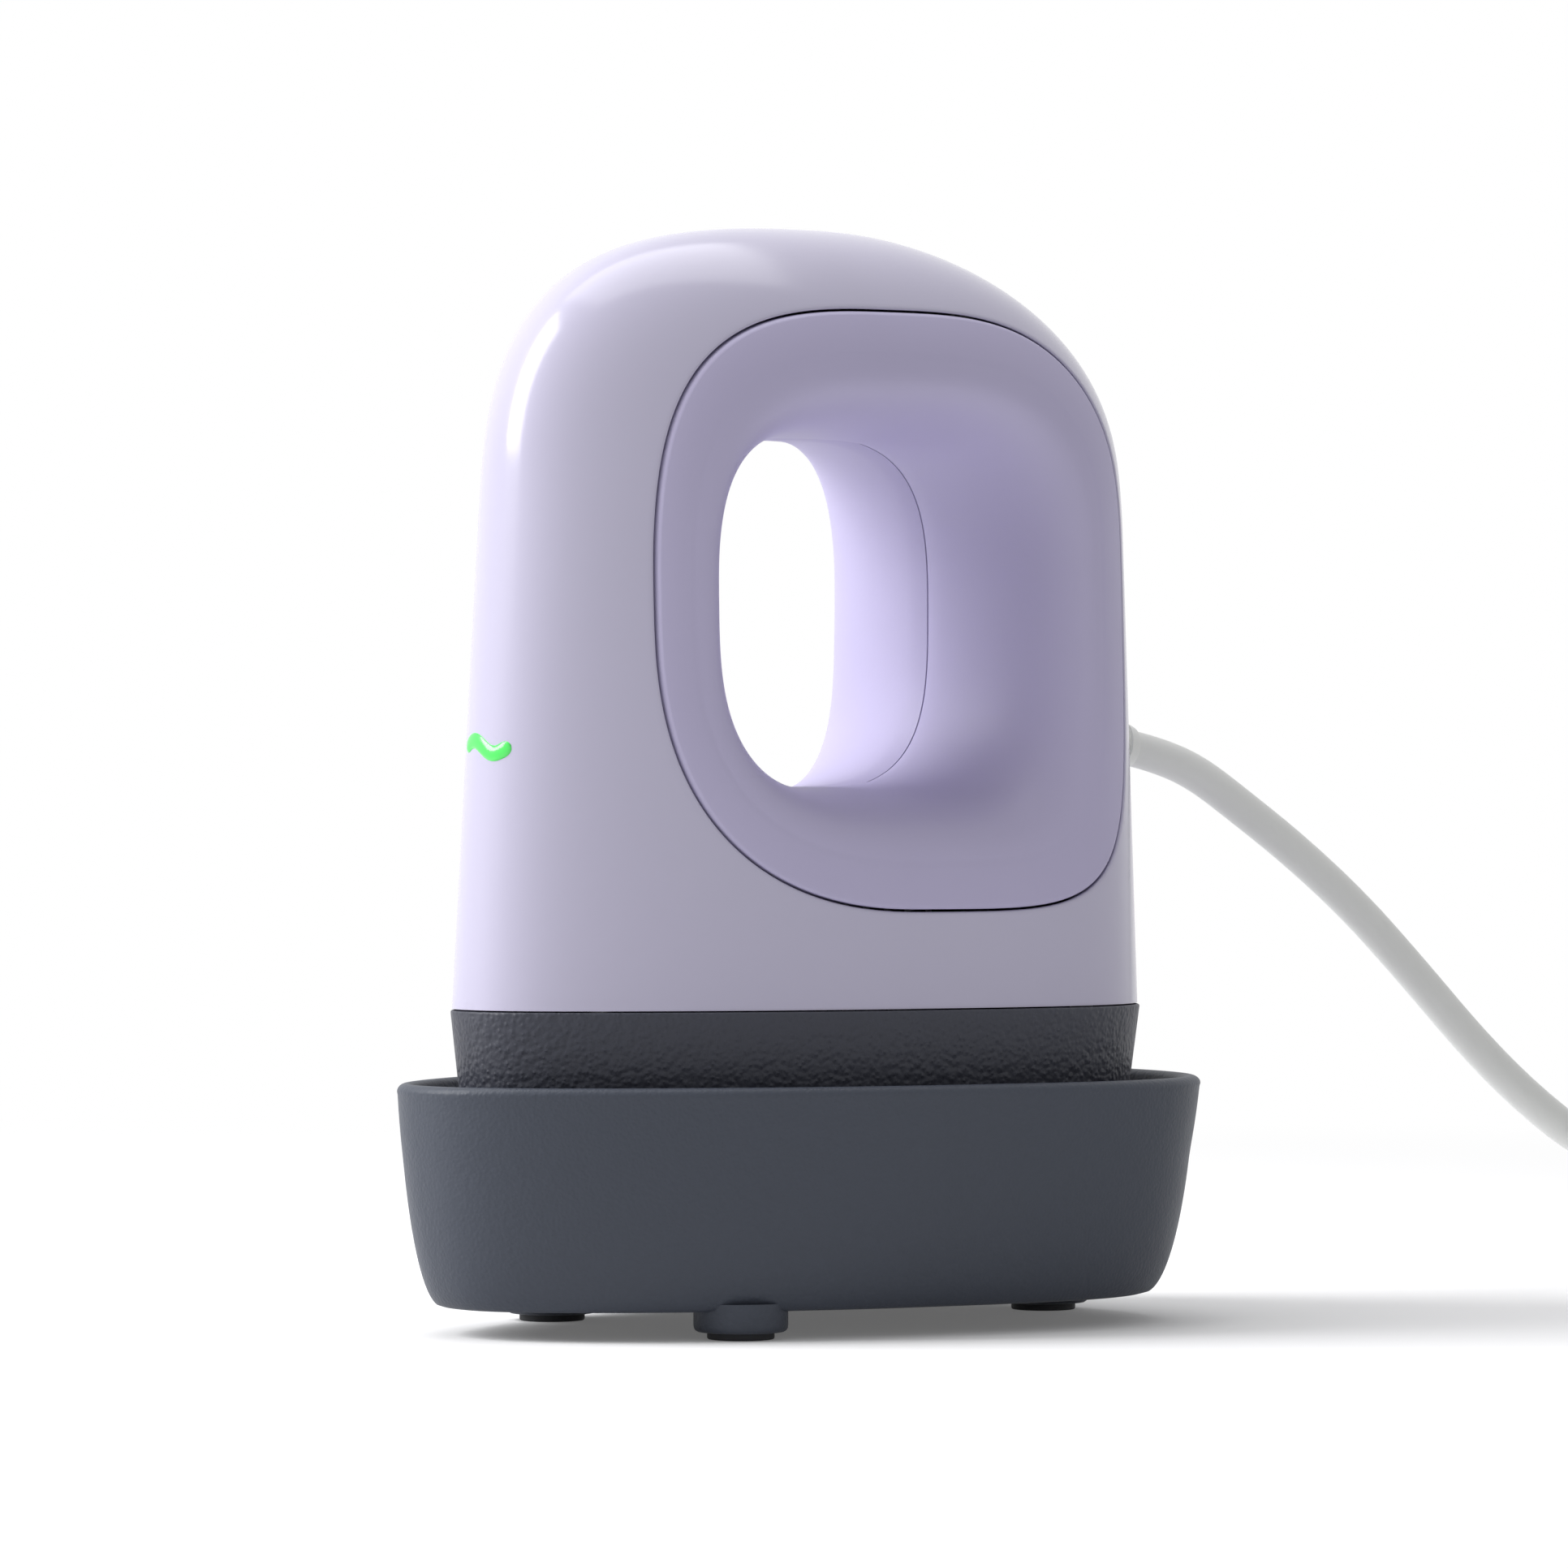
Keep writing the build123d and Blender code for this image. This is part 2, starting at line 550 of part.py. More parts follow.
NOSE_X = -SHELL_HALF_LENGTH - 3
BOSS_TOP = 52.0
REAR_X = casing_size(BUTTON_Z)[3] + casing_size(BUTTON_Z)[0]
LED_BOARD_X = casing_size(LIGHT_Z)[3] - casing_size(LIGHT_Z)[0] + SHELL_WALL + 3.4
BUTTON_BOARD_X = REAR_X - 10.65
SEAT_START, SEAT_LENGTH = -13.0, 4.2
SEAT_WIDTH = 18.0
SEAT_TOP = -0.3
SEAT_FOOT = -8.5
CLAMP_SPOTS = [(SEAT_START + SEAT_LENGTH / 2, -6.2), (SEAT_START + SEAT_LENGTH / 2, 6.2)]
LED_POSTS = [(-5.0, 66.5), (5.0, 66.5), (-5.0, 80.5), (5.0, 80.5)]
BUTTON_POST_Y, BUTTON_POST_Z = BUTTON_RADIUS + 0.2, BUTTON_RADIUS + 1.4
BUTTON_POSTS = [
    (sy * BUTTON_POST_Y, BUTTON_Z + sz * BUTTON_POST_Z) for sy in (-1, 1) for sz in (-1, 1)
]
NECK_RADIUS = CORD_DIAMETER / 2 + 2.1

with BuildPart() as casing_fixings:
    # screw bosses
    with BuildSketch(Plane.XY.offset(DECK_TOP + SEAM_GAP)):
        with Locations(*SHELL_SCREW_SPOTS):
            Circle(POST_RADIUS)
    extrude(amount=BOSS_TOP - DECK_TOP)
    # ribs from the bosses out to the casing's wall, above the spigot
    with BuildSketch(Plane.XY.offset(SPIGOT_TOP + SEAM_GAP)):
        with Locations(*[(x, y + math.copysign(SHELL_HALF_WIDTH / 2, y)) for x, y in SHELL_SCREW_SPOTS]):
            Rectangle(2.4, SHELL_HALF_WIDTH)
    extrude(amount=BOSS_TOP - SPIGOT_TOP - SEAM_GAP)
    # posts for the light board and the button board
    with BuildSketch(Plane.YZ.offset(LED_BOARD_X)):
        with Locations(*LED_POSTS):
            Circle(1.6)
    extrude(amount=-4.6)
    with BuildSketch(Plane.YZ.offset(BUTTON_BOARD_X)):
        with Locations(*BUTTON_POSTS):
            Circle(1.6)
    extrude(amount=9.2)
    # seat that holds the cord just inside the rear wall, and the rib that carries it
    with BuildSketch(cord_plane(SEAT_START)):
        with Locations((0, (SEAT_TOP + SEAT_FOOT) / 2)):
            Rectangle(SEAT_WIDTH, SEAT_TOP - SEAT_FOOT)
        Circle(CORD_DIAMETER / 2 + SLIP, mode=Mode.SUBTRACT)
    extrude(amount=SEAT_LENGTH)
    with BuildSketch(cord_plane(SEAT_START)):
        with Locations((0, SEAT_FOOT + 1)):
            Rectangle(SEAT_WIDTH, 2)
    extrude(amount=-SEAT_START)
    add(casing_middle.part, mode=Mode.INTERSECT)

with BuildPart() as outer_shell:
    add(casing_block.part)
    add(casing_room.part, mode=Mode.SUBTRACT)
    add(casing_fixings.part)
    with BuildSketch(clamp_plane(SEAT_TOP)):
        with Locations(*CLAMP_SPOTS):
            Circle(SMALL_SCREW_RADIUS + SLIP)
    extrude(amount=-6, mode=Mode.SUBTRACT)
    with Locations(Plane.XY.offset(DECK_TOP + SEAM_GAP).rotated((180, 0, 0))):
        with Locations(*[(x, -y) for x, y in SHELL_SCREW_SPOTS]):
            Hole(SCREW_RADIUS + SLIP, depth=10)
    # openings: side panels, light, button and cord
    extrude(edge_face(0), SHELL_HALF_LENGTH, both=True, mode=Mode.SUBTRACT)
    extrude(wave_face(NOSE_X, SLIP), 9, mode=Mode.SUBTRACT)
    with BuildSketch(Plane.YZ.offset(BUTTON_BOARD_X + 5)):
        with Locations((0, BUTTON_Z)):
            Circle(BUTTON_RADIUS + BUTTON_CLEARANCE)
    extrude(amount=12, mode=Mode.SUBTRACT)
    with BuildSketch(cord_plane(0)):
        Circle(NECK_RADIUS + SLIP)
    extrude(amount=4, both=True, mode=Mode.SUBTRACT)
outer_shell.part.label = "outer_shell"

PIN_RADIUS = 1.6
PIN_LENGTH = 5.0
PANEL_POSTS = [(-4.0, 119.5), (10.0, 119.5), (-4.0, 61.5), (12.0, 61.5)]
PANEL_POST_RADIUS = 2.6
TUBE_WALL = 3.6
POCKET_DEPTH = 16.5         # how far the pocket behind the panel's face goes out
POCKET_NOSE_DEPTH = 8.5     # the same at the panel's front edge
POCKET_CROWN_DEPTH = 8.0    # and at its top edge
POCKET_SLOPE_X = -8.0       # where the floor stops closing towards the nose
POCKET_SLOPE_Z = 105.0      # where it starts closing towards the crown

# The room behind a panel's face. Its floor is flat in the middle and closes
# towards the nose and the crown, as the casing does.
with BuildPart() as panel_pocket:
    front = PANEL_X - PANEL_FRONT
    crown = PANEL_Z + PANEL_HALF_HEIGHT
    nose_slope = (POCKET_DEPTH - POCKET_NOSE_DEPTH) / (POCKET_SLOPE_X - front)
    crown_slope = (POCKET_DEPTH - POCKET_CROWN_DEPTH) / (crown - POCKET_SLOPE_Z)
    with BuildSketch(Plane.XY.offset(PANEL_Z - PANEL_HALF_HEIGHT - 5)):
        with BuildLine():
            Polyline(
                (front - 10, 1),
                (front - 10, -POCKET_NOSE_DEPTH + 10 * nose_slope),
                (POCKET_SLOPE_X, -POCKET_DEPTH),
                (PANEL_X + PANEL_REAR - 5, -POCKET_DEPTH),
                (PANEL_X + PANEL_REAR + 5, -POCKET_DEPTH + 6),
                (PANEL_X + PANEL_REAR + 5, 1),
                close=True,
            )
        make_face()
    extrude(amount=2 * PANEL_HALF_HEIGHT + 10)
    with BuildSketch(Plane.YZ.offset(front - 12)):
        with BuildLine():
            Polyline(
                (1, PANEL_Z - PANEL_HALF_HEIGHT - 6),
                (-POCKET_DEPTH - 1, PANEL_Z - PANEL_HALF_HEIGHT - 6),
                (-POCKET_DEPTH - 1, POCKET_SLOPE_Z - 1 / crown_slope),
                (-POCKET_CROWN_DEPTH + 7 * crown_slope, crown + 7),
                (1, crown + 7),
                close=True,
            )
        make_face()
    extrude(amount=PANEL_FRONT + PANEL_REAR + 20, mode=Mode.INTERSECT)
    extrude(hole_face(TUBE_WALL), PANEL_FRONT, both=True, mode=Mode.SUBTRACT)
    with BuildSketch(side_plane(0)):
        with Locations(*PANEL_POSTS):
            Circle(PANEL_POST_RADIUS)
    extrude(amount=POCKET_DEPTH + 2, both=True, mode=Mode.SUBTRACT)

# One half of the hand hole: a skin in line with the casing and a tube to the middle.
with BuildPart() as side_panel:
    extrude(edge_face(-SEAM_GAP), SHELL_HALF_LENGTH)
    add(casing_block.part, mode=Mode.INTERSECT)
    add(panel_pocket.part, mode=Mode.SUBTRACT)
    loft(sections=mouth_faces(), mode=Mode.SUBTRACT)

with BuildPart() as right_side_panel:
    add(side_panel.part)
    with BuildSketch(side_plane(0)):
        with Locations(*PANEL_POSTS):
            Circle(PIN_RADIUS)
    extrude(amount=-PIN_LENGTH)
right_side_panel.part.label = "right_side_panel"

with BuildPart() as left_side_panel:
    add(mirror(side_panel.part, about=Plane.XZ, mode=Mode.PRIVATE))
    with BuildSketch(side_plane(0)):
        with Locations(*PANEL_POSTS):
            Circle(PIN_RADIUS + SLIP)
    extrude(amount=-PIN_LENGTH - 0.5, mode=Mode.SUBTRACT)
left_side_panel.part.label = "left_side_panel"

with BuildPart() as shell_screws:
    add(screws(Plane.XY, SHELL_SCREW_SPOTS, DECK_HEIGHT, DECK_TOP + 9, SCREW_RADIUS, 2.7, 1.6))
shell_screws.part.label = "shell_screws"

# ==== light ==================================================================
with BuildPart() as indicator_lens:
    extrude(wave_face(NOSE_X), 8.6)
    add(casing_block.part, mode=Mode.INTERSECT)
indicator_lens.part.label = "indicator_lens"

LED_BOARD_THICK = 1.2
with BuildPart() as led_board:
    with BuildSketch(Plane.YZ.offset(LED_BOARD_X)):
        with Locations((0, LIGHT_Z)):
            RectangleRounded(14, 18, 1.5)
    extrude(amount=LED_BOARD_THICK)
led_board.part.label = "led_board"

with BuildPart() as indicator_leds:
    with BuildSketch(Plane.YZ.offset(LED_BOARD_X)):
        with Locations((0, LIGHT_Z)):
            with GridLocations(3.2, 1, 3, 1):
                Rectangle(2.0, 1.6)
    extrude(amount=-1.4)
indicator_leds.part.label = "indicator_leds"

# ==== power button ===========================================================
FLANGE_FACE = REAR_X - SHELL_WALL - 0.55
STEM_END = FLANGE_FACE - 2.7
SWITCH_TOP = STEM_END - BUTTON_TRAVEL - 0.1

with BuildPart() as power_button:
    with BuildSketch(Plane.YZ.offset(FLANGE_FACE - 1.1)):
        with Locations((0, BUTTON_Z)):
            Circle(BUTTON_RADIUS + 1.2)
    extrude(amount=1.1)
    with BuildSketch(Plane.YZ.offset(FLANGE_FACE - 1.1)):
        with Locations((0, BUTTON_Z)):
            Circle(BUTTON_RADIUS)
    extrude(amount=REAR_X + BUTTON_PROUD - FLANGE_FACE + 1.1)
    fillet(power_button.edges().group_by(Axis.X)[-1], radius=0.8)
    with BuildSketch(Plane.YZ.offset(STEM_END)):
        with Locations((0, BUTTON_Z)):
            Circle(2.0)
    extrude(amount=FLANGE_FACE - STEM_END)
power_button.part.label = "power_button"

with BuildPart() as button_switch:
    with BuildSketch(Plane.YZ.offset(BUTTON_BOARD_X)):
        with Locations((0, BUTTON_Z)):
            RectangleRounded(6, 6, 0.6)
    extrude(amount=SWITCH_TOP - 0.7 - BUTTON_BOARD_X)
    with BuildSketch(Plane.YZ.offset(BUTTON_BOARD_X)):
        with Locations((0, BUTTON_Z)):
            Circle(1.6)
    extrude(amount=SWITCH_TOP - BUTTON_BOARD_X)
button_switch.part.label = "button_switch"

with BuildPart() as button_board:
    with BuildSketch(Plane.YZ.offset(BUTTON_BOARD_X)):
        with Locations((0, BUTTON_Z)):
            RectangleRounded(2 * BUTTON_RADIUS + 5, 2 * BUTTON_RADIUS + 7, 1.5)
    extrude(amount=-BOARD_THICK)
button_board.part.label = "button_board"

# ==== control board ==========================================================
BOARD_TOP = BOARD_HEIGHT + BOARD_THICK

with BuildPart() as control_board:
    extrude(egg_face(BOARD_HEIGHT, BOARD_HALF_LENGTH, BOARD_HALF_WIDTH), BOARD_THICK)
    with BuildSketch(Plane.XY.offset(BOARD_HEIGHT)):
        with Locations(*BOARD_SPOTS):
            Circle(SMALL_SCREW_RADIUS + SLIP)
    extrude(amount=BOARD_THICK, mode=Mode.SUBTRACT)
control_board.part.label = "control_board"

with BuildPart() as board_screws:
    add(screws(Plane.XY, BOARD_SPOTS, BOARD_TOP, BOARD_TOP - 6, SMALL_SCREW_RADIUS, 2.0, 1.2))
board_screws.part.label = "board_screws"

with BuildPart() as transformer:
    with BuildSketch(Plane.XY.offset(BOARD_TOP)):
        with Locations((-10, 7)):
            RectangleRounded(14, 11, 1)
    extrude(amount=3)
    with BuildSketch(Plane.XY.offset(BOARD_TOP + 3)):
        with Locations((-10, 7)):
            RectangleRounded(11, 8, 2)
    extrude(amount=4.6)
    with BuildSketch(Plane.XY.offset(BOARD_TOP + 7.6)):
        with Locations((-10, 7)):
            RectangleRounded(14, 11, 1)
    extrude(amount=2.4)
transformer.part.label = "transformer"

with BuildPart() as capacitor:
    with BuildSketch(Plane.XY.offset(BOARD_TOP)):
        with Locations((-10, -8)):
            Circle(4)
    extrude(amount=10.5)
    fillet(capacitor.edges().group_by(Axis.Z)[-1], radius=0.8)
capacitor.part.label = "capacitor"

with BuildPart() as relay:
    with BuildSketch(Plane.XY.offset(BOARD_TOP)):
        with Locations((8, 9)):
            Rectangle(15, 10)
    extrude(amount=10.4)
    fillet(relay.edges().group_by(Axis.Z)[-1], radius=0.7)
relay.part.label = "relay"

with BuildPart() as triac:
    with BuildSketch(Plane.XY.offset(BOARD_TOP)):
        with Locations((8, -6.2)):
            Rectangle(9, 3)
    extrude(amount=10)
triac.part.label = "triac"

with BuildPart() as heat_sink:
    with BuildSketch(Plane.XY.offset(BOARD_TOP)):
        with Locations((8, -8.5)):
            Rectangle(15, 1.6)
        with Locations((8, -10.8)):
            with GridLocations(3.3, 1, 5, 1):
                Rectangle(1, 3.6)
    extrude(amount=10.5)
heat_sink.part.label = "heat_sink"

with BuildPart() as terminal_block:
    with BuildSketch(Plane.XY.offset(BOARD_TOP)):
        with Locations((22, 0)):
            Rectangle(8, 11)
    extrude(amount=8.5)
    with BuildSketch(Plane.XY.offset(BOARD_TOP + 8.5)):
        with Locations((22, 0)):
            with GridLocations(1, 5.2, 1, 2):
                Circle(1.5)
    extrude(amount=-2, mode=Mode.SUBTRACT)
terminal_block.part.label = "terminal_block"

with BuildPart() as microcontroller:
    with BuildSketch(Plane.XY.offset(BOARD_TOP)):
        with Locations((-1, -3)):
            RectangleRounded(6, 6, 0.3)
    extrude(amount=1.1)
microcontroller.part.label = "microcontroller"

# ==== cord entry =============================================================
RELIEF_TIP_RADIUS = CORD_DIAMETER / 2 + 0.5
RELIEF_ROOT_RADIUS = CORD_DIAMETER / 2 + 3.0
RING_START = 1.5            # clear of the casing all round, though the cord slants
FLANGE_START, FLANGE_THICK = -3.0 - SHELL_WALL, 1.4
FLANGE_RADIUS = RELIEF_ROOT_RADIUS
with BuildPart() as strain_relief:
    # turned about the cord's axis, laid out from the exit outwards
    cord_axis = Axis(cord_plane(0).origin, cord_plane(0).z_dir)
    with BuildSketch(Plane(origin=cord_axis.position, x_dir=cord_axis.direction, z_dir=(0, -1, 0))):
        with BuildLine():
            Polyline(
                (RELIEF_START, CORD_DIAMETER / 2 + SLIP),
                (RELIEF_END, CORD_DIAMETER / 2 + SLIP),
                (RELIEF_END, RELIEF_TIP_RADIUS),
                (RING_START + 1.4, RELIEF_ROOT_RADIUS - 0.3),
                (RING_START + 0.4, RELIEF_ROOT_RADIUS),
                (RING_START, RELIEF_ROOT_RADIUS - 0.3),
                (RING_START, NECK_RADIUS),
                (FLANGE_START + FLANGE_THICK, NECK_RADIUS),
                (FLANGE_START + FLANGE_THICK, FLANGE_RADIUS),
                (FLANGE_START, FLANGE_RADIUS),
                (FLANGE_START, NECK_RADIUS - 0.7),
                (RELIEF_START, NECK_RADIUS - 0.7),
                close=True,
            )
        make_face()
    revolve(axis=cord_axis)
    # grooves that let the tail bend
    for along in (4.0, 6.4, 8.8):
        with BuildSketch(cord_plane(along)):
            Circle(RELIEF_ROOT_RADIUS + 1)
            Circle(RELIEF_TIP_RADIUS - 0.1, mode=Mode.SUBTRACT)
        extrude(amount=0.9, mode=Mode.SUBTRACT)
strain_relief.part.label = "strain_relief"

with BuildPart() as cord_inner_end:
    with BuildSketch(cord_plane(SEAT_START - 1)):
        Circle(CORD_DIAMETER / 2)
    extrude(amount=RELIEF_END - SEAT_START + 1)
cord_inner_end.part.label = "cord_inner_end"

CLAMP_TOP_Z = CORD_DIAMETER / 2 + 2.0
with BuildPart() as cord_clamp:
    with BuildSketch(cord_plane(SEAT_START)):
        with Locations((0, (CLAMP_TOP_Z + SEAT_TOP + 0.1) / 2)):
            Rectangle(SEAT_WIDTH - 1, CLAMP_TOP_Z - SEAT_TOP - 0.1)
        Circle(CORD_DIAMETER / 2 + SLIP, mode=Mode.SUBTRACT)
    extrude(amount=SEAT_LENGTH)
    with BuildSketch(clamp_plane(SEAT_TOP)):
        with Locations(*CLAMP_SPOTS):
            Circle(SMALL_SCREW_RADIUS + SLIP)
    extrude(amount=CLAMP_TOP_Z - SEAT_TOP, mode=Mode.SUBTRACT)
cord_clamp.part.label = "cord_clamp"

with BuildPart() as clamp_screws:
    add(screws(clamp_plane(0), CLAMP_SPOTS, CLAMP_TOP_Z, -5, SMALL_SCREW_RADIUS, 1.9, 1.2))
clamp_screws.part.label = "clamp_screws"

WIRE_TOP = cord_plane(SEAT_START - 1).origin
WIRE_BEND = cord_plane(SEAT_START - 3.2).origin
with BuildPart() as live_wires:
    for side in (-1, 1):
        with BuildLine() as run:
            FilletPolyline(
                (WIRE_TOP.X, side * 1.2, WIRE_TOP.Z),
                (WIRE_BEND.X, side * 1.2, WIRE_BEND.Z),
                (WIRE_BEND.X - 1.0, side * 2.6, 62),
                (22, side * 2.6, BOARD_TOP + 10.5),
                (22, side * 2.6, BOARD_TOP + 6.6),
                radius=1.2,
            )
        with BuildSketch(Plane(origin=run.line @ 0, z_dir=run.line % 0)):
            Circle(WIRE_RADIUS)
        sweep(path=run.line)
live_wires.part.label = "live_wires"

# ==== cord, its coil and its plug ============================================
# The tube's points are chosen by hand: on from the relief, down onto the coil.
CORD_ROUTE = [
    tuple(cord_plane(RELIEF_END).origin),
    tuple(cord_plane(RELIEF_END + 4.0).origin),
    (EXIT_X + 22.5, 0.0, 70.7),
    (EXIT_X + 30.2, 0.0, 66.1),
    (EXIT_X + 40.1, 0.0, 59.9),
    (EXIT_X + 50.6, 0.0, 52.3),
    (EXIT_X + 60.6, -0.1, 43.5),
    (EXIT_X + 71.3, -0.2, 33.6),
    (EXIT_X + 80.6, -0.3, 26.2),
    (EXIT_X + 91.1, -0.5, 19.4),
    (EXIT_X + 99.6, -0.7, 17.05),
    (EXIT_X + 109.1, -0.9, 17.0),
    (EXIT_X + 118.1, -1.0, 17.0),
]
COIL_X, COIL_Y = EXIT_X + 118.1, -33.8
COIL_MIDDLE_RADIUS = 27.5
COIL_HALF_SPREAD = 7.7
COIL_HEIGHT = 19.4
PLUG_X = EXIT_X + 75.1
PLUG_HALF_HEIGHT = 6.7
TAIL_Z = PLUG_HALF_HEIGHT


def arc_radii(route):
    """The largest arc at each corner: 0.45 of the shorter run over tan of half the turn."""
    radii = []
    for before, here, after in zip(route, route[1:], route[2:]):
        into = Vector(*here) - Vector(*before)
        out = Vector(*after) - Vector(*here)
        half_turn = math.radians(into.get_angle(out)) / 2
        radii.append(0.45 * min(into.length, out.length) / math.tan(half_turn))
    return radii


def cord_tube(route):
    """A plain tube along straight runs joined by tangent arcs."""
    with BuildLine() as path:
        FilletPolyline(*route, radius=arc_radii(route))
    with BuildPart() as tube:
        with BuildSketch(Plane(origin=path.line @ 0, z_dir=path.line % 0)):
            Circle(CORD_DIAMETER / 2)
        sweep(path=path.line)
    area = math.pi * CORD_DIAMETER**2 / 4
    print("cord radii", [round(r, 1) for r in arc_radii(route)])
    length = sum(edge.length for edge in path.line.edges())
    print("cord length", round(length, 1))
    print("volume over section times length", round(tube.part.volume / (area * length), 4))
    return tube.part


with BuildPart() as power_cord:
    add(cord_tube(CORD_ROUTE))
power_cord.part.label = "power_cord"

with BuildPart() as cord_coil:
    with BuildSketch(Plane.XZ.offset(-COIL_Y)):
        with Locations((COIL_X + COIL_MIDDLE_RADIUS, COIL_HEIGHT / 2)):
            RectangleRounded(2 * COIL_HALF_SPREAD, COIL_HEIGHT, CORD_DIAMETER / 2 - 0.1)
    revolve(axis=Axis((COIL_X, COIL_Y, 0), (0, 0, 1)))
    # the face that the incoming cord meets
    with BuildSketch(Plane.YZ.offset(CORD_ROUTE[-1][0] - 60)):
        with Locations((CORD_ROUTE[-1][1], CORD_ROUTE[-1][2] + 1.5)):
            Rectangle(CORD_DIAMETER + 1.2, CORD_DIAMETER + 3.2)
    extrude(amount=60.07, mode=Mode.SUBTRACT)
cord_coil.part.label = "cord_coil"

TAIL_START_X = COIL_X - 15.0
TAIL_Y = COIL_Y - COIL_MIDDLE_RADIUS - COIL_HALF_SPREAD + CORD_DIAMETER / 2
with BuildPart() as cord_tail:
    with BuildSketch(Plane.YZ.offset(PLUG_X + 12)):
        with Locations((TAIL_Y, TAIL_Z)):
            Circle(CORD_DIAMETER / 2)
    extrude(amount=TAIL_START_X - PLUG_X - 12)
    add(cord_coil.part, mode=Mode.SUBTRACT)
cord_tail.part.label = "cord_tail"

with BuildPart() as plug_body:
    with BuildSketch(Plane.YZ.offset(PLUG_X - 14)):
        with Locations((TAIL_Y, PLUG_HALF_HEIGHT)):
            RectangleRounded(24, 2 * PLUG_HALF_HEIGHT, 4)
    extrude(amount=15)
    with BuildSketch(Plane.YZ.offset(PLUG_X + 1)) as plug_back:
        with Locations((TAIL_Y, PLUG_HALF_HEIGHT)):
            RectangleRounded(24, 2 * PLUG_HALF_HEIGHT, 4)
    with BuildSketch(Plane.YZ.offset(PLUG_X + 12)) as plug_neck:
        with Locations((TAIL_Y, PLUG_HALF_HEIGHT)):
            RectangleRounded(8.0, 8.0, 3.5)
    loft(sections=[plug_back.sketch, plug_neck.sketch])
plug_body.part.label = "plug_body"

with BuildPart() as plug_pins:
    with BuildSketch(Plane.YZ.offset(PLUG_X - 14)):
        with Locations((TAIL_Y, PLUG_HALF_HEIGHT)):
            with GridLocations(12.7, 1, 2, 1):
                Rectangle(1.5, 6.4)
    extrude(amount=-17.5)
plug_pins.part.label = "plug_pins"

# ==== write every piece ======================================================
PIECES = [
    base_tray, base_plate, foot_pads, rest_pads,
    heat_plate, heating_element, element_clamp, insulation_pad, heat_shield, standoffs,
    plate_screws, shield_screws, thermal_fuse, thermistor, heater_wires,
    collar, outer_shell, right_side_panel, left_side_panel, shell_screws,
    indicator_lens, led_board, indicator_leds, power_button, button_switch, button_board,
    control_board, board_screws, transformer, capacitor, relay, triac, heat_sink,
    terminal_block, microcontroller,
    strain_relief, cord_inner_end, cord_clamp, clamp_screws, live_wires,
    power_cord, cord_coil, cord_tail, plug_body, plug_pins,
]
for piece in PIECES:
    export_step(piece.part, f"parts/{piece.part.label}.step")
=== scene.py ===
# %% [markdown]
# # A mini heat press standing in its safety base
#
# The real object is a small iron for craft work: a glossy one-piece casing, two
# matte panels that meet inside the hand hole, a grained collar, and a hot plate
# that stays hidden in an open base. The CAD model fixes every size and every
# moving part. This lesson gives it its looks. Each visible piece is a surface
# written as a formula, so a reader can change one number and see what it does.

# %% The fixed frame
import bmesh
import bpy
import json
import math
import numpy as np
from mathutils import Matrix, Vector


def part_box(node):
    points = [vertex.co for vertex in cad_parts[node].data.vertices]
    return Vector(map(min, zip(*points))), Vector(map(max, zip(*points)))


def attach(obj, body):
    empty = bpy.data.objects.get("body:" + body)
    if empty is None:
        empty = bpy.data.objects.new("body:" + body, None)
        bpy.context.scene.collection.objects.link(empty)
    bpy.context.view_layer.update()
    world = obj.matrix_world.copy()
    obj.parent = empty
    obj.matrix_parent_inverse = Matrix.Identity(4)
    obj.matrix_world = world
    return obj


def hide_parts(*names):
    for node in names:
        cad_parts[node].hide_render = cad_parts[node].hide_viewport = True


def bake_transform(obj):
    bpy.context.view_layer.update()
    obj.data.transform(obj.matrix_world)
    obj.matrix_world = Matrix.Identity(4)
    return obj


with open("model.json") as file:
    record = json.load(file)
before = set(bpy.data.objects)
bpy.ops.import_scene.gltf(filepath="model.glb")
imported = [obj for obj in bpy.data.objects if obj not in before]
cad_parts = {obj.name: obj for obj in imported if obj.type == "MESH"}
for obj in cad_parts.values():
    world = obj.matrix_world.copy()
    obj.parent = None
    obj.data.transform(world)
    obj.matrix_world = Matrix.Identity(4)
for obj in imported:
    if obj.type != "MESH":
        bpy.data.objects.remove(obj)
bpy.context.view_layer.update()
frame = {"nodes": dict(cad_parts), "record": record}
MM = 0.001  # all shapes below are written in millimetres

# %% [markdown]
# ## Camera
#
# The press is seen from its right side, turned so that the nose comes forward.
# A long lens keeps the upright edges nearly parallel. The camera could be aimed
# with a constraint, but a plain position and turn are easier to read.

# %% Camera
VIEW_TURN = math.radians(36.0)   # about the upright axis, from straight at the side
VIEW_HEIGHT = 68.9               # the lens looks level from this height
VIEW_DISTANCE = 974.8
VIEW_SIDEWAYS = 0.76
LENS_MM = 174.9

away = np.array([math.sin(VIEW_TURN), math.cos(VIEW_TURN), 0.0])
right = np.array([math.cos(VIEW_TURN), -math.sin(VIEW_TURN), 0.0])
up = np.array([0.0, 0.0, 1.0])


def seen_from_camera(sideways, height, depth):
    """A place given as the camera sees it: right of the middle, above the floor, behind the press."""
    return (right * sideways + up * height + away * depth) * MM


camera_data = bpy.data.cameras.new("camera")
camera_data.lens = LENS_MM
camera = bpy.data.objects.new("camera", camera_data)
camera.location = seen_from_camera(VIEW_SIDEWAYS, VIEW_HEIGHT, -VIEW_DISTANCE)
camera.rotation_euler = (math.pi / 2, 0.0, -VIEW_TURN)
bpy.context.scene.collection.objects.link(camera)
bpy.context.scene.camera = camera

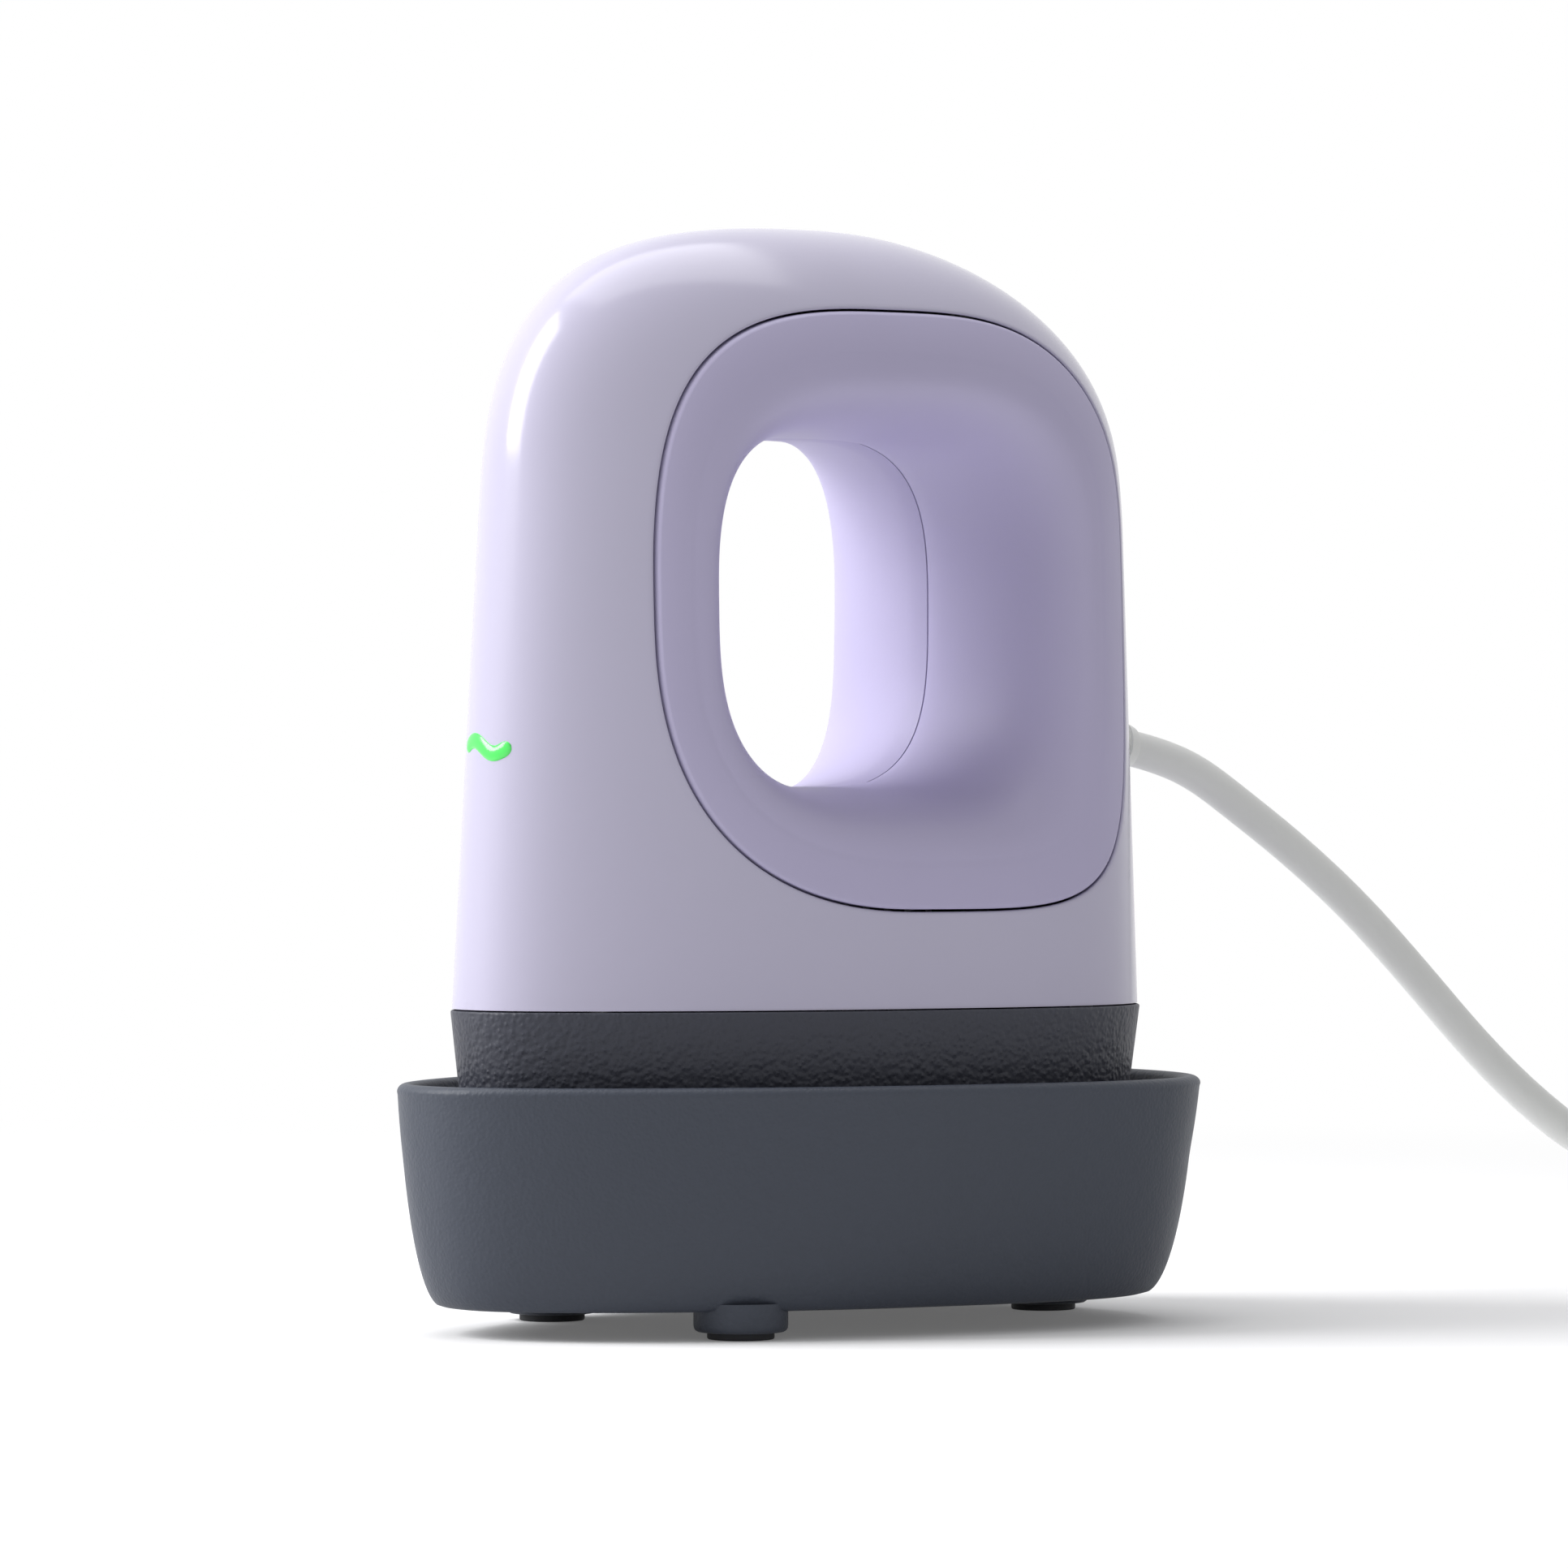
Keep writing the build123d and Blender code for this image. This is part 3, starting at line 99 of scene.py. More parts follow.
# %% [markdown]
# ## From a grid of points to a closed piece
#
# Almost every shape here is a grid: rows run along a profile, columns run round
# an outline. Points that fall together, such as a pole or a join between two
# halves, are merged, so the piece is closed and its shading is smooth.

# %% Mesh helpers
def grid_faces(rows, columns, start=0):
    """Four-sided faces between neighbouring points; the columns close into a ring."""
    i = np.arange(rows - 1)[:, None]
    j = np.arange(columns)[None, :]
    k = (j + 1) % columns
    corners = [i * columns + j, i * columns + k, (i + 1) * columns + k, (i + 1) * columns + j]
    return np.stack(corners, axis=-1).reshape(-1, 4) + start


def make_piece(name, points, faces, sharp=35.0):
    """A mesh object from points in millimetres, merged, closed and facing outwards."""
    mesh = bpy.data.meshes.new(name)
    mesh.from_pydata((points.reshape(-1, 3) * MM).tolist(), [], faces.tolist())
    work = bmesh.new()
    work.from_mesh(mesh)
    bmesh.ops.remove_doubles(work, verts=work.verts, dist=2e-6)
    bmesh.ops.recalc_face_normals(work, faces=work.faces)
    loose = sum(1 for edge in work.edges if not edge.is_manifold)
    volume = work.calc_volume(signed=True)
    work.to_mesh(mesh)
    work.free()
    mesh.shade_smooth()
    mesh.set_sharp_from_angle(angle=math.radians(sharp))
    piece = bpy.data.objects.new(name, mesh)
    bpy.context.scene.collection.objects.link(piece)
    print(f"{name}: {len(mesh.polygons)} faces, {loose} open edges, {volume * 1e6:.2f} cm3")
    return piece


def ring_piece(name, rows, closed=False, sharp=35.0):
    """A piece from rings of equal length, one after another; closed joins the last to the first."""
    rings = np.stack(rows + rows[:1] if closed else rows)
    return make_piece(name, rings, grid_faces(rings.shape[0], rings.shape[1]), sharp)


def lathe(name, profile, centre, sides=64, axis="Z"):
    """Circles of radius r at height h for each (r, h) of the profile, about an axis."""
    turn = np.linspace(0, 2 * np.pi, sides, endpoint=False)
    rows = []
    for radius, height in profile:
        a, b = radius * np.cos(turn), radius * np.sin(turn)
        c = np.full(sides, float(height))
        rows.append(np.stack([a, b, c] if axis == "Z" else [c, a, b], axis=-1) + centre)
    return ring_piece(name, rows)


def rounded_corner(corner, before, after, radius, count=5):
    """Points of an arc that rounds a profile's corner, between its two neighbours."""
    corner, before, after = (np.asarray(p, float) for p in (corner, before, after))
    to_before = (before - corner) / np.linalg.norm(before - corner)
    to_after = (after - corner) / np.linalg.norm(after - corner)
    t = np.linspace(0, 1, count)[:, None]
    first, last = corner + to_before * radius, corner + to_after * radius
    return (1 - t) ** 2 * first + 2 * t * (1 - t) * corner + t**2 * last


# %% [markdown]
# ## The plan shape
#
# Seen from above, casing, collar and base share one outline: pointed at the
# nose, fullest behind the middle, blunt at the rear. A superellipse gives the
# blunt ends, and a width that grows towards the rear makes it an egg.

# %% Plan shape
PLAN_POWER = 2.356
PLAN_SKEW = 0.367
ROUND = np.linspace(0, 2 * np.pi, 240, endpoint=False)


def fullness(turn, skew):
    """|sin t|^(2/n) (1 + k cos t): the width at each turn before it is scaled to 1."""
    return np.abs(np.sin(turn)) ** (2 / PLAN_POWER) * (1 + skew * np.cos(turn))


def fullest(skew):
    """The largest fullness for each skew."""
    turn = np.linspace(0, np.pi, 721)
    return fullness(turn, np.asarray(skew)[..., None]).max(axis=-1)


def egg(turn, half_length, half_width, skew=PLAN_SKEW):
    """x = a cos^(2/n) t and y = b times the fullness, so that the outline is 2a by 2b."""
    c = np.cos(turn)
    x = half_length * np.sign(c) * np.abs(c) ** (2 / PLAN_POWER)
    y = half_width * np.sign(np.sin(turn)) * fullness(turn, skew) / fullest(skew)
    return x, y


def egg_ring(half_length, half_width, z):
    """One level ring of the plan shape; both halves at 0 give a pole."""
    x, y = egg(ROUND, half_length, half_width)
    return np.stack([x, y, np.full_like(x, z)], axis=-1)


# %% [markdown]
# ## The casing's form
#
# Going up, the egg shrinks slowly, then closes over in a dome. The length
# closes late and square, the width early and round, and the whole section
# becomes even and moves back as it closes. Each of these is one short law.

# %% Casing law
CASING_FOOT = 40.8
CASING_TOP = 139.88
CASING_WALL = 2.4
FOOT_HALF_LENGTH = 47.481
FOOT_HALF_WIDTH = 30.514
LENGTH_TAPER = 0.051     # taken off the half length with each millimetre of height
WIDTH_TAPER = 0.015
MIDDLE_AT_FOOT = 0.044
MIDDLE_LEAN = 0.013      # the middle moves back by this with each millimetre of height
LENGTH_DOME = 107.475    # the length starts to close at this height
WIDTH_DOME = 100.871
DOME_POWER = 2.473
DOME_SHIFT = -9.159      # as the dome closes the middle first moves forward,
DOME_RETURN = 11.596     # and then back again, past where it was


def casing_section(z, inset=0.0):
    """Half length, half width, skew and middle at each height, for the skin set in by inset."""
    top = CASING_TOP - inset
    rise = z - CASING_FOOT
    u = np.clip((z - LENGTH_DOME) / (top - LENGTH_DOME), 0, 1)
    v = np.clip((z - WIDTH_DOME) / (top - WIDTH_DOME), 0, 1)
    close = (1 - u**DOME_POWER) ** (1 / DOME_POWER)
    half_length = (FOOT_HALF_LENGTH - LENGTH_TAPER * rise - inset) * close
    half_width = (FOOT_HALF_WIDTH - WIDTH_TAPER * rise - inset) * np.sqrt(1 - v**2)
    closed = 1 - close
    middle = MIDDLE_AT_FOOT + MIDDLE_LEAN * rise + DOME_SHIFT * closed + DOME_RETURN * closed**2
    return half_length, half_width, PLAN_SKEW * close, middle


def side_depth(x, z, inset=0.0):
    """How far the casing's side stands from the middle plane above each point of the side view."""
    half_length, half_width, skew, middle = casing_section(z, inset)
    u = np.clip((x - middle) / np.maximum(half_length, 1e-6), -1, 1)
    c = np.sign(u) * np.abs(u) ** (PLAN_POWER / 2)
    s = np.sqrt(np.maximum(0, 1 - c**2))
    return half_width * s ** (2 / PLAN_POWER) * (1 + skew * c) / fullest(skew)


# %% [markdown]
# ## The window for the side panels
#
# In the side view the panel's edge is a rounded rectangle whose four corners
# are rounded differently. A superellipse per quarter does that: its radius in
# each direction has a closed form. The hand hole uses the same formula.

# %% Outlines in the side view
WINDOW = np.array([2.8, 90.8])           # centre, along and up
WINDOW_REACH = (34.6, 33.6, 37.9)        # rearwards, to the nose, up and down
WINDOW_POWERS = (3.2, 3.0, 2.6, 4.1)     # rear top, nose top, nose low, rear low
HOLE_REACH = (20.75, 21.9, 22.25)
HOLE_POWERS = (3.2, 3.2, 3.2, 3.2)


def outline_radius(turn, reach, powers):
    """r = (|cos t / a|^n + |sin t / b|^n)^(-1/n), with a and n chosen by the quarter."""
    c, s = np.cos(turn), np.sin(turn)
    quarter = np.where(s >= 0, np.where(c >= 0, 0, 1), np.where(c < 0, 2, 3))
    n = np.asarray(powers)[quarter]
    a = np.where(c >= 0, reach[0], reach[1])
    return (np.abs(c / a) ** n + np.abs(s / reach[2]) ** n) ** (-1 / n)


def even_steps(points, count):
    """Resamples a line of points at equal distances."""
    along = np.r_[0, np.cumsum(np.linalg.norm(np.diff(points, axis=0), axis=1))]
    wanted = np.linspace(0, along[-1], count)
    return np.stack([np.interp(wanted, along, points[:, k]) for k in range(2)], axis=-1)


# %% [markdown]
# ## Outer shell
#
# The real shell is one glossy moulding with a large window in each side. A
# boolean cut would leave long thin triangles that show in the gloss. Here the
# grid itself runs from the window's edge out to the casing's outline in the
# side view, so the edge is a clean line with its own small rounding.

# %% Outer shell
RIM_STEPS = 200       # columns from the foot up the rear, over the crown and down the nose
FOOT_STEPS = 90       # columns along the foot
SKIN_ROWS = 46
EDGE_ROUND = 0.45


def casing_rim(inset):
    """The side view's outline: up the rear, over, down the nose, back along the foot."""
    climb = np.sin(np.linspace(0, np.pi / 2, 400)) * (CASING_TOP - inset - CASING_FOOT) + CASING_FOOT
    half_length, _, _, middle = casing_section(climb, inset)
    rear = np.stack([middle + half_length, climb], axis=-1)
    nose = np.stack([middle - half_length, climb], axis=-1)
    over = even_steps(np.vstack([rear, nose[::-1]]), RIM_STEPS)
    turn = np.linspace(np.pi, 0, FOOT_STEPS + 2)[1:-1]
    half_length, _, _, middle = casing_section(np.array(CASING_FOOT), inset)
    foot = np.stack([middle + egg(turn, half_length, 1)[0], np.full(FOOT_STEPS, CASING_FOOT)], axis=-1)
    return np.vstack([over, foot])


def casing_skin(inset, rows):
    """Rows from the outline in to the window's edge, bunched where the skin turns away."""
    rim = casing_rim(inset)
    spoke = rim - WINDOW
    turn = np.arctan2(spoke[:, 1], spoke[:, 0])
    ray = np.stack([np.cos(turn), np.sin(turn)], axis=-1)
    edge = outline_radius(turn, WINDOW_REACH, WINDOW_POWERS)
    outer = np.linalg.norm(spoke, axis=1)
    reach = np.sin(np.linspace(np.pi / 2, 0, rows))[:, None]
    radius = (edge + EDGE_ROUND) + (outer - edge - EDGE_ROUND) * reach
    flat = WINDOW + ray * radius[..., None]
    depth = side_depth(flat[..., 0], flat[..., 1], inset)
    depth[0, :RIM_STEPS] = 0.0  # the two halves meet along the outline
    return flat, depth, ray, edge


def shell_half(side):
    """Outer skin, rounded window edge, cut face and inner skin as one grid; side is -1 or 1."""
    flat, depth, ray, edge = casing_skin(0.0, SKIN_ROWS)
    turn_in = np.linspace(0, np.pi / 2, 6)[1:, None]
    rounded = WINDOW + ray * (edge + EDGE_ROUND * (1 - np.sin(turn_in)))[..., None]
    rounded_depth = side_depth(rounded[..., 0], rounded[..., 1]) - EDGE_ROUND * (1 - np.cos(turn_in))
    inner_flat, inner_depth, _, _ = casing_skin(CASING_WALL, SKIN_ROWS // 2)
    flat = np.concatenate([flat, rounded, inner_flat[::-1]])
    depth = np.concatenate([depth, rounded_depth, inner_depth[::-1]])
    return np.stack([flat[..., 0], side * depth, flat[..., 1]], axis=-1)


def foot_faces(rows, columns, start):
    """Faces that close the wall's lower edge, along the foot only."""
    j = np.arange(RIM_STEPS - 1, columns)
    k = (j + 1) % columns
    last = (rows - 1) * columns
    return np.stack([j, k, last + k, last + j], axis=-1) + start


halves = [shell_half(-1), shell_half(1)]
rows, columns = halves[0].shape[:2]
faces = [grid_faces(rows, columns, i * rows * columns) for i in range(2)]
faces += [foot_faces(rows, columns, i * rows * columns) for i in range(2)]
outer_shell = make_piece("shell_skin", np.stack(halves), np.vstack(faces), sharp=50)

# %% [markdown]
# ## Side panels
#
# Each panel starts flush with the shell, turns over a soft edge and sweeps in
# to the middle of the hand hole like a funnel. Two laws meet there: the skin of
# the casing, and a mouth whose depth falls as (1 - r^p)^(1/p) on its way in.
# A smooth minimum of the two gives the soft edge without a crease.

# %% Panel law
SEAM_GAP = 0.3
PANEL_WALL = 2.2
MOUTH_POWER = 2.9
MOUTH_DEPTH = 1.03      # depth of the mouth against the casing's side above the same place
SOFT_EDGE = 1.6         # how gently the skin turns into the mouth
MEETING_GAP = 0.14      # each panel stops this far from the middle, so the meeting line shows
MEETING_ROUND = 0.45    # and its inner end is rounded over
PANEL_COLUMNS = 288
PANEL_ROWS = 72
ROW_BUNCHING = 1.15     # above 1, rows crowd towards the outer edge
SOFT_FROM = 6           # the soft edge is complete a sixth of the way in
EASED_SHARE = 0.12      # up to here the eased outer edge takes the place of the face's rows
WINDOW_ABOUT = 33.0     # rough reach of the window, to turn a rounding into a scale


def panel_surface(turn, share, thin=0.0):
    """Point at a share of the way in, for each direction; thin gives the hidden inner side."""
    edge = outline_radius(turn, WINDOW_REACH, WINDOW_POWERS) - SEAM_GAP
    throat = outline_radius(turn, HOLE_REACH, HOLE_POWERS) + thin
    angle = (share * np.pi / 2)[:, None]
    radius = edge + (throat - edge) * np.sin(angle) ** (2 / MOUTH_POWER)
    x = WINDOW[0] + np.cos(turn) * radius
    z = WINDOW[1] + np.sin(turn) * radius
    skin = side_depth(x, z) - thin
    funnel = (MOUTH_DEPTH * skin) * np.cos(angle) ** (2 / MOUTH_POWER)
    soft = SOFT_EDGE * np.clip(share * SOFT_FROM, 0, 1)[:, None]
    depth = (skin + funnel - np.sqrt((skin - funnel) ** 2 + soft**2)) / 2
    return x, z, np.maximum(depth, MEETING_GAP)


def panel_rows(side):
    """Rows round the panel: eased outer edge, face, eased inner end, then back along the inside."""
    turn = np.linspace(0, 2 * np.pi, PANEL_COLUMNS, endpoint=False)
    share = np.linspace(0, 1, PANEL_ROWS) ** ROW_BUNCHING
    x, z, depth = panel_surface(turn, share)
    rows = [np.stack([x[0], side * (depth[0] - PANEL_WALL), z[0]], axis=-1)]
    for a in np.linspace(np.pi / 2, 0, 6):
        grown = 1 - EDGE_ROUND * (1 - math.sin(a)) / WINDOW_ABOUT
        ex = WINDOW[0] + (x[0] - WINDOW[0]) * grown
        ez = WINDOW[1] + (z[0] - WINDOW[1]) * grown
        drop = EDGE_ROUND * (1 - math.cos(a))
        rows.append(np.stack([ex, side * (side_depth(ex, ez) - drop), ez], axis=-1))
    inside = share > EASED_SHARE
    for px, pz, pd in zip(x[inside], z[inside], depth[inside]):
        left = np.clip((MEETING_GAP + MEETING_ROUND - pd) / MEETING_ROUND, 0, 1)
        ease = MEETING_ROUND * (1 - np.sqrt(1 - left**2))
        out = np.stack([np.cos(turn), np.sin(turn)]) * ease
        rows.append(np.stack([px + out[0], side * pd, pz + out[1]], axis=-1))
    x, z, depth = panel_surface(turn, np.linspace(1, 0.0, 40), PANEL_WALL)
    for px, pz, pd in zip(x, z, depth):
        rows.append(np.stack([px, side * np.minimum(pd, depth[-1]), pz], axis=-1))
    return rows


right_panel = ring_piece("hand_funnel_right", panel_rows(-1), closed=True, sharp=60)
left_panel = ring_piece("hand_funnel_left", panel_rows(1), closed=True, sharp=60)

# %% [markdown]
# ## Collar
#
# A dark ring with a leather-like grain carries the casing and hides the edge of
# the hot plate. Its profile is carried round the egg: down the inside, round
# the lower edge, up the outside and over to the deck.

# %% Collar
COLLAR_TOP = 40.62
COLLAR_FOOT = 11.0
COLLAR_OUTLINE = (47.6, 31.1)    # half length and half width at its top
COLLAR_DRAFT = 3.4               # its outside leans in by this on the way down
COLLAR_INNER_FOOT = 5.3
TOP_LIP_INNER = 2.2
DECK = (35.0, 37.0)              # under side and upper side
DECK_EDGE = 2.8


def profile_rings(profile, half_length, half_width):
    """Rings of the egg for each (inset, z); an inset of None is a pole in the middle."""
    rings = []
    for inset, z in profile:
        if inset is None:
            rings.append(egg_ring(0.0, 0.0, z))
        else:
            rings.append(egg_ring(half_length - inset, half_width - inset, z))
    return rings


def collar_profile():
    """Closed profile of the collar, from the deck's under side round to its top."""
    foot, top = (COLLAR_DRAFT, COLLAR_FOOT), (0, COLLAR_TOP)
    low_edge = rounded_corner(foot, (COLLAR_DRAFT + 2, COLLAR_FOOT), top, 0.9)
    top_edge = rounded_corner(top, foot, (2.4, COLLAR_TOP), 0.35)
    profile = [(None, DECK[0]), (DECK_EDGE, DECK[0]), (DECK_EDGE, DECK[0] - 0.2)]
    profile += [(COLLAR_INNER_FOOT, COLLAR_FOOT)]
    profile += low_edge.tolist()
    heights = np.linspace(COLLAR_FOOT + 2, COLLAR_TOP - 2, 8)
    profile += [(COLLAR_DRAFT * (COLLAR_TOP - z) / (COLLAR_TOP - COLLAR_FOOT), z) for z in heights]
    profile += top_edge.tolist()
    profile += [(TOP_LIP_INNER, COLLAR_TOP), (TOP_LIP_INNER, DECK[1]), (None, DECK[1])]
    return profile


collar_ring = ring_piece("collar_ring", profile_rings(collar_profile(), *COLLAR_OUTLINE))

# %% [markdown]
# ## Safety base
#
# The base is a deep tray that follows the same egg, so the hot plate can rest
# inside it. Its side leans out fast at the foot and then stands almost upright,
# and the rim is a soft rounded lip.

# %% Safety base
RIM_TOP = 31.5
TRAY_FOOT = 3.6
TRAY_FLOOR = 7.2
TRAY_WALL = 2.3
BASE_OUTLINE = (47.3, 31.1)     # the outline that the profile below is measured from
RIM_GROW = 7.25                 # the rim stands this far outside it
FLARE = 5.7                     # how far the side leans out between foot and rim
FLARE_POWER = 1.6
TUCK_HEIGHT = 10.0              # over this height under the rim the side tucks in
TUCK = 0.5
RIM_DRIFT = 0.2                 # the rim lies this far towards the nose,
TUCK_DRIFT = 0.25               # and what is below the tuck this much further
LIP_DROP = 1.0                  # the lip's rounding starts this far under the top
LOW_EDGE = 0.25                 # and the side this far above the foot


def tray_grow(z):
    """How far the side stands outside the outline: it gains quickly at the foot, then slowly."""
    share = 1 - np.clip((z - TRAY_FOOT) / (RIM_TOP - TRAY_FOOT), 0, 1)
    flare = FLARE * np.sqrt(1 - share**FLARE_POWER)
    return RIM_GROW - FLARE + flare - TUCK * np.clip((RIM_TOP - z) / TUCK_HEIGHT, 0, 1)


def tray_drift(z):
    """How far the whole section moves towards the nose on its way down from the rim."""
    return RIM_DRIFT + TUCK_DRIFT * np.clip((RIM_TOP - z) / TUCK_HEIGHT, 0, 1)


def tray_profile():
    """Profile from the floor's middle, up the inside, over the lip and down to the under side."""
    heights = np.linspace(TRAY_FLOOR + 1.2, RIM_TOP - 1.2, 8)
    inner = [(-(tray_grow(z) - TRAY_WALL), z) for z in heights]
    turn = np.linspace(np.pi, 0, 13)
    lip_middle = RIM_GROW - TRAY_WALL / 2
    lip = [
        (-(lip_middle + math.cos(a) * TRAY_WALL / 2), RIM_TOP - LIP_DROP + math.sin(a))
        for a in turn
    ]
    low = TRAY_FOOT + LOW_EDGE
    rises = (RIM_TOP - 1.4 - low) * np.linspace(1, 0, 26) ** FLARE_POWER
    outer = [(-tray_grow(low + rise), low + rise) for rise in rises]
    profile = [(None, TRAY_FLOOR), (0.6, TRAY_FLOOR), (-0.6, TRAY_FLOOR + 0.4)]
    profile += inner + lip + outer
    recess = TRAY_FOOT + 1.2
    profile += [(-0.9, TRAY_FOOT), (3.7, TRAY_FOOT), (3.7, recess), (None, recess)]
    return profile


tray_rings = profile_rings(tray_profile(), *BASE_OUTLINE)
for ring in tray_rings:
    ring[:, 0] -= tray_drift(ring[:, 2])
tray = ring_piece("safety_tray", tray_rings, sharp=50)

# %% Legs and pads under the base
LEG_RADIUS = 5.9
LEG_TOP = 4.6            # just above the tray's lower edge, so leg and tray read as one moulding
PAD_RADIUS = 4.2
PAD_THICK = 0.9
LEG_SPOTS = [(-20.8, -20.8), (-20.8, 20.8), (43.0, 0.0)]

legs, pads = [], []
for number, (x, y) in enumerate(LEG_SPOTS, start=1):
    edge = rounded_corner((LEG_RADIUS, PAD_THICK), (0, PAD_THICK), (LEG_RADIUS, 5), 0.9).tolist()
    leg_profile = [(0, PAD_THICK)] + edge + [(LEG_RADIUS, LEG_TOP), (0, LEG_TOP)]
    legs.append(lathe(f"base_leg_{number}", leg_profile, (x, y, 0)))
    pad_edge = rounded_corner((PAD_RADIUS, 0), (0, 0), (PAD_RADIUS, 1), 0.3).tolist()
    pad_profile = [(0, 0)] + pad_edge + [(PAD_RADIUS, PAD_THICK), (0, PAD_THICK)]
    pads.append(lathe(f"base_pad_{number}", pad_profile, (x, y, 0)))

# %% [markdown]
# ## Light on the nose
#
# A green wave lies in the nose and glows when the plate is hot. It is a
# flattened tube whose path is one sine wave laid on the casing, so it wraps
# round the nose just as the skin does.

# %% Wave light
LIGHT_Z = 73.5
LIGHT_SPAN = 3.9
LIGHT_WAVE = 0.8
LIGHT_STROKE = 0.98      # half the width of the line
LIGHT_PROUD = 0.28
LIGHT_CYCLES = 1.1       # half waves on each side of the middle
LIGHT_ENDS = 0.78        # from this share outwards the line shrinks into its round ends


def nose_x(y, z):
    """x of the casing's nose at each (y, z), read off the egg."""
    half_length, half_width, skew, middle = casing_section(z)
    turn = np.linspace(np.pi - 0.9, np.pi + 0.9, 721)
    unit_x, unit_y = egg(turn, 1.0, 1.0)
    return middle + half_length * np.interp(y / half_width, -unit_y, unit_x)


def wave_rows():
    """Elliptic sections along a sine wave, shrinking to a point in two round ends."""
    t = np.linspace(-1, 1, 61)
    past = np.clip((np.abs(t) - LIGHT_ENDS) / (1 - LIGHT_ENDS), 0, 1)
    size = np.sqrt(1 - past**2)
    y = t * (LIGHT_SPAN + LIGHT_STROKE)
    z = LIGHT_Z + LIGHT_WAVE * np.sin(np.pi * t * LIGHT_CYCLES)
    slope = np.gradient(z, y)
    across = np.stack([-slope, np.ones_like(slope)]) / np.hypot(1, slope)
    turn = np.linspace(0, 2 * np.pi, 24, endpoint=False)
    rows = []
    for i in range(len(t)):
        py = y[i] + across[0, i] * size[i] * LIGHT_STROKE * np.cos(turn)
        pz = z[i] + across[1, i] * size[i] * LIGHT_STROKE * np.cos(turn)
        lift = LIGHT_PROUD * size[i] * np.sin(turn)
        rows.append(np.stack([nose_x(py, pz) - lift, py, pz], axis=-1))
    return rows


wave_light = ring_piece("wave_light", wave_rows())

# %% [markdown]
# ## Button and strain relief
#
# Both are turned shapes. The button stands a little proud of the rear, on its
# own body, so it moves when it is pressed. The strain relief tapers and has
# grooves cut round it, which is what lets it bend.

# %% Button
BUTTON_Z = 100.0
button_low, button_high = (np.array(corner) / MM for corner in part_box("power_button"))
CAP_RADIUS = 5.0
STEM_RADIUS = 2.0
FLANGE_RADIUS = 6.2      # the flange inside the casing keeps the cap from falling out
FLANGE_BACK = button_low[0] + 2.7
FLANGE_FRONT = button_low[0] + 3.8
cap_edge = rounded_corner((CAP_RADIUS, button_high[0]), (CAP_RADIUS, 0), (0, button_high[0]), 0.8)
cap_profile = [(0, button_low[0]), (STEM_RADIUS, button_low[0]), (STEM_RADIUS, FLANGE_BACK)]
cap_profile += [(FLANGE_RADIUS, FLANGE_BACK), (FLANGE_RADIUS, FLANGE_FRONT), (CAP_RADIUS, FLANGE_FRONT)]
cap_profile += [tuple(p) for p in cap_edge]
cap_profile += [(radius, button_high[0] - dish) for radius, dish in ((3.6, 0.02), (1.6, 0.16), (0, 0.2))]
button_cap = lathe("button_cap", cap_profile, (0, 0, BUTTON_Z), axis="X")

# %% Strain relief
EXIT = np.array([45.9, 0.0, 75.7])
EXIT_DROP = math.radians(10.0)
CORD_RADIUS = 2.4
RELIEF_TIP = 11.5
RELIEF_ROOT = 5.15       # radius where the taper starts, at the distance of the next line
TAPER_START = 2.7
TAPER = 0.27
GROOVE_STARTS = (4.0, 6.4, 8.8)
GROOVE_FLOOR = 2.8


def along_exit(distance):
    """A point on the cord's axis, at a distance from where it passes the casing."""
    return EXIT + np.array([math.cos(EXIT_DROP), 0, -math.sin(EXIT_DROP)]) * distance


def relief_profile():
    """(radius, distance) from inside the casing to the tip: neck, ring, then a grooved taper."""
    outside = [(CORD_RADIUS, -8.6), (3.8, -8.6), (3.8, -5.4), (5.4, -5.4), (5.4, -4.0), (4.5, -4.0)]
    outside += [(4.5, 1.4), (5.2, 1.45), (5.4, 1.9), (RELIEF_ROOT, TAPER_START)]
    for start in GROOVE_STARTS:
        near, far = start - 0.05, start + 0.95
        outside += [(RELIEF_ROOT - (near - TAPER_START) * TAPER, near), (GROOVE_FLOOR, start + 0.1)]
        outside += [(GROOVE_FLOOR, start + 0.8), (RELIEF_ROOT - (far - TAPER_START) * TAPER, far)]
    tip = rounded_corner((GROOVE_FLOOR, RELIEF_TIP), (3.2, 9.75), (CORD_RADIUS, RELIEF_TIP), 0.3, 4)
    return outside + [tuple(p) for p in tip] + [(CORD_RADIUS, RELIEF_TIP)]


turn = np.linspace(0, 2 * np.pi, 64, endpoint=False)
tilt_up = np.array([math.sin(EXIT_DROP), 0, math.cos(EXIT_DROP)])
relief_rows = []
for radius, distance in relief_profile():
    ring = np.outer(np.cos(turn), [0, 1, 0]) + np.outer(np.sin(turn), tilt_up)
    relief_rows.append(along_exit(distance) + radius * ring)
relief = ring_piece("cord_relief", relief_rows, closed=True)
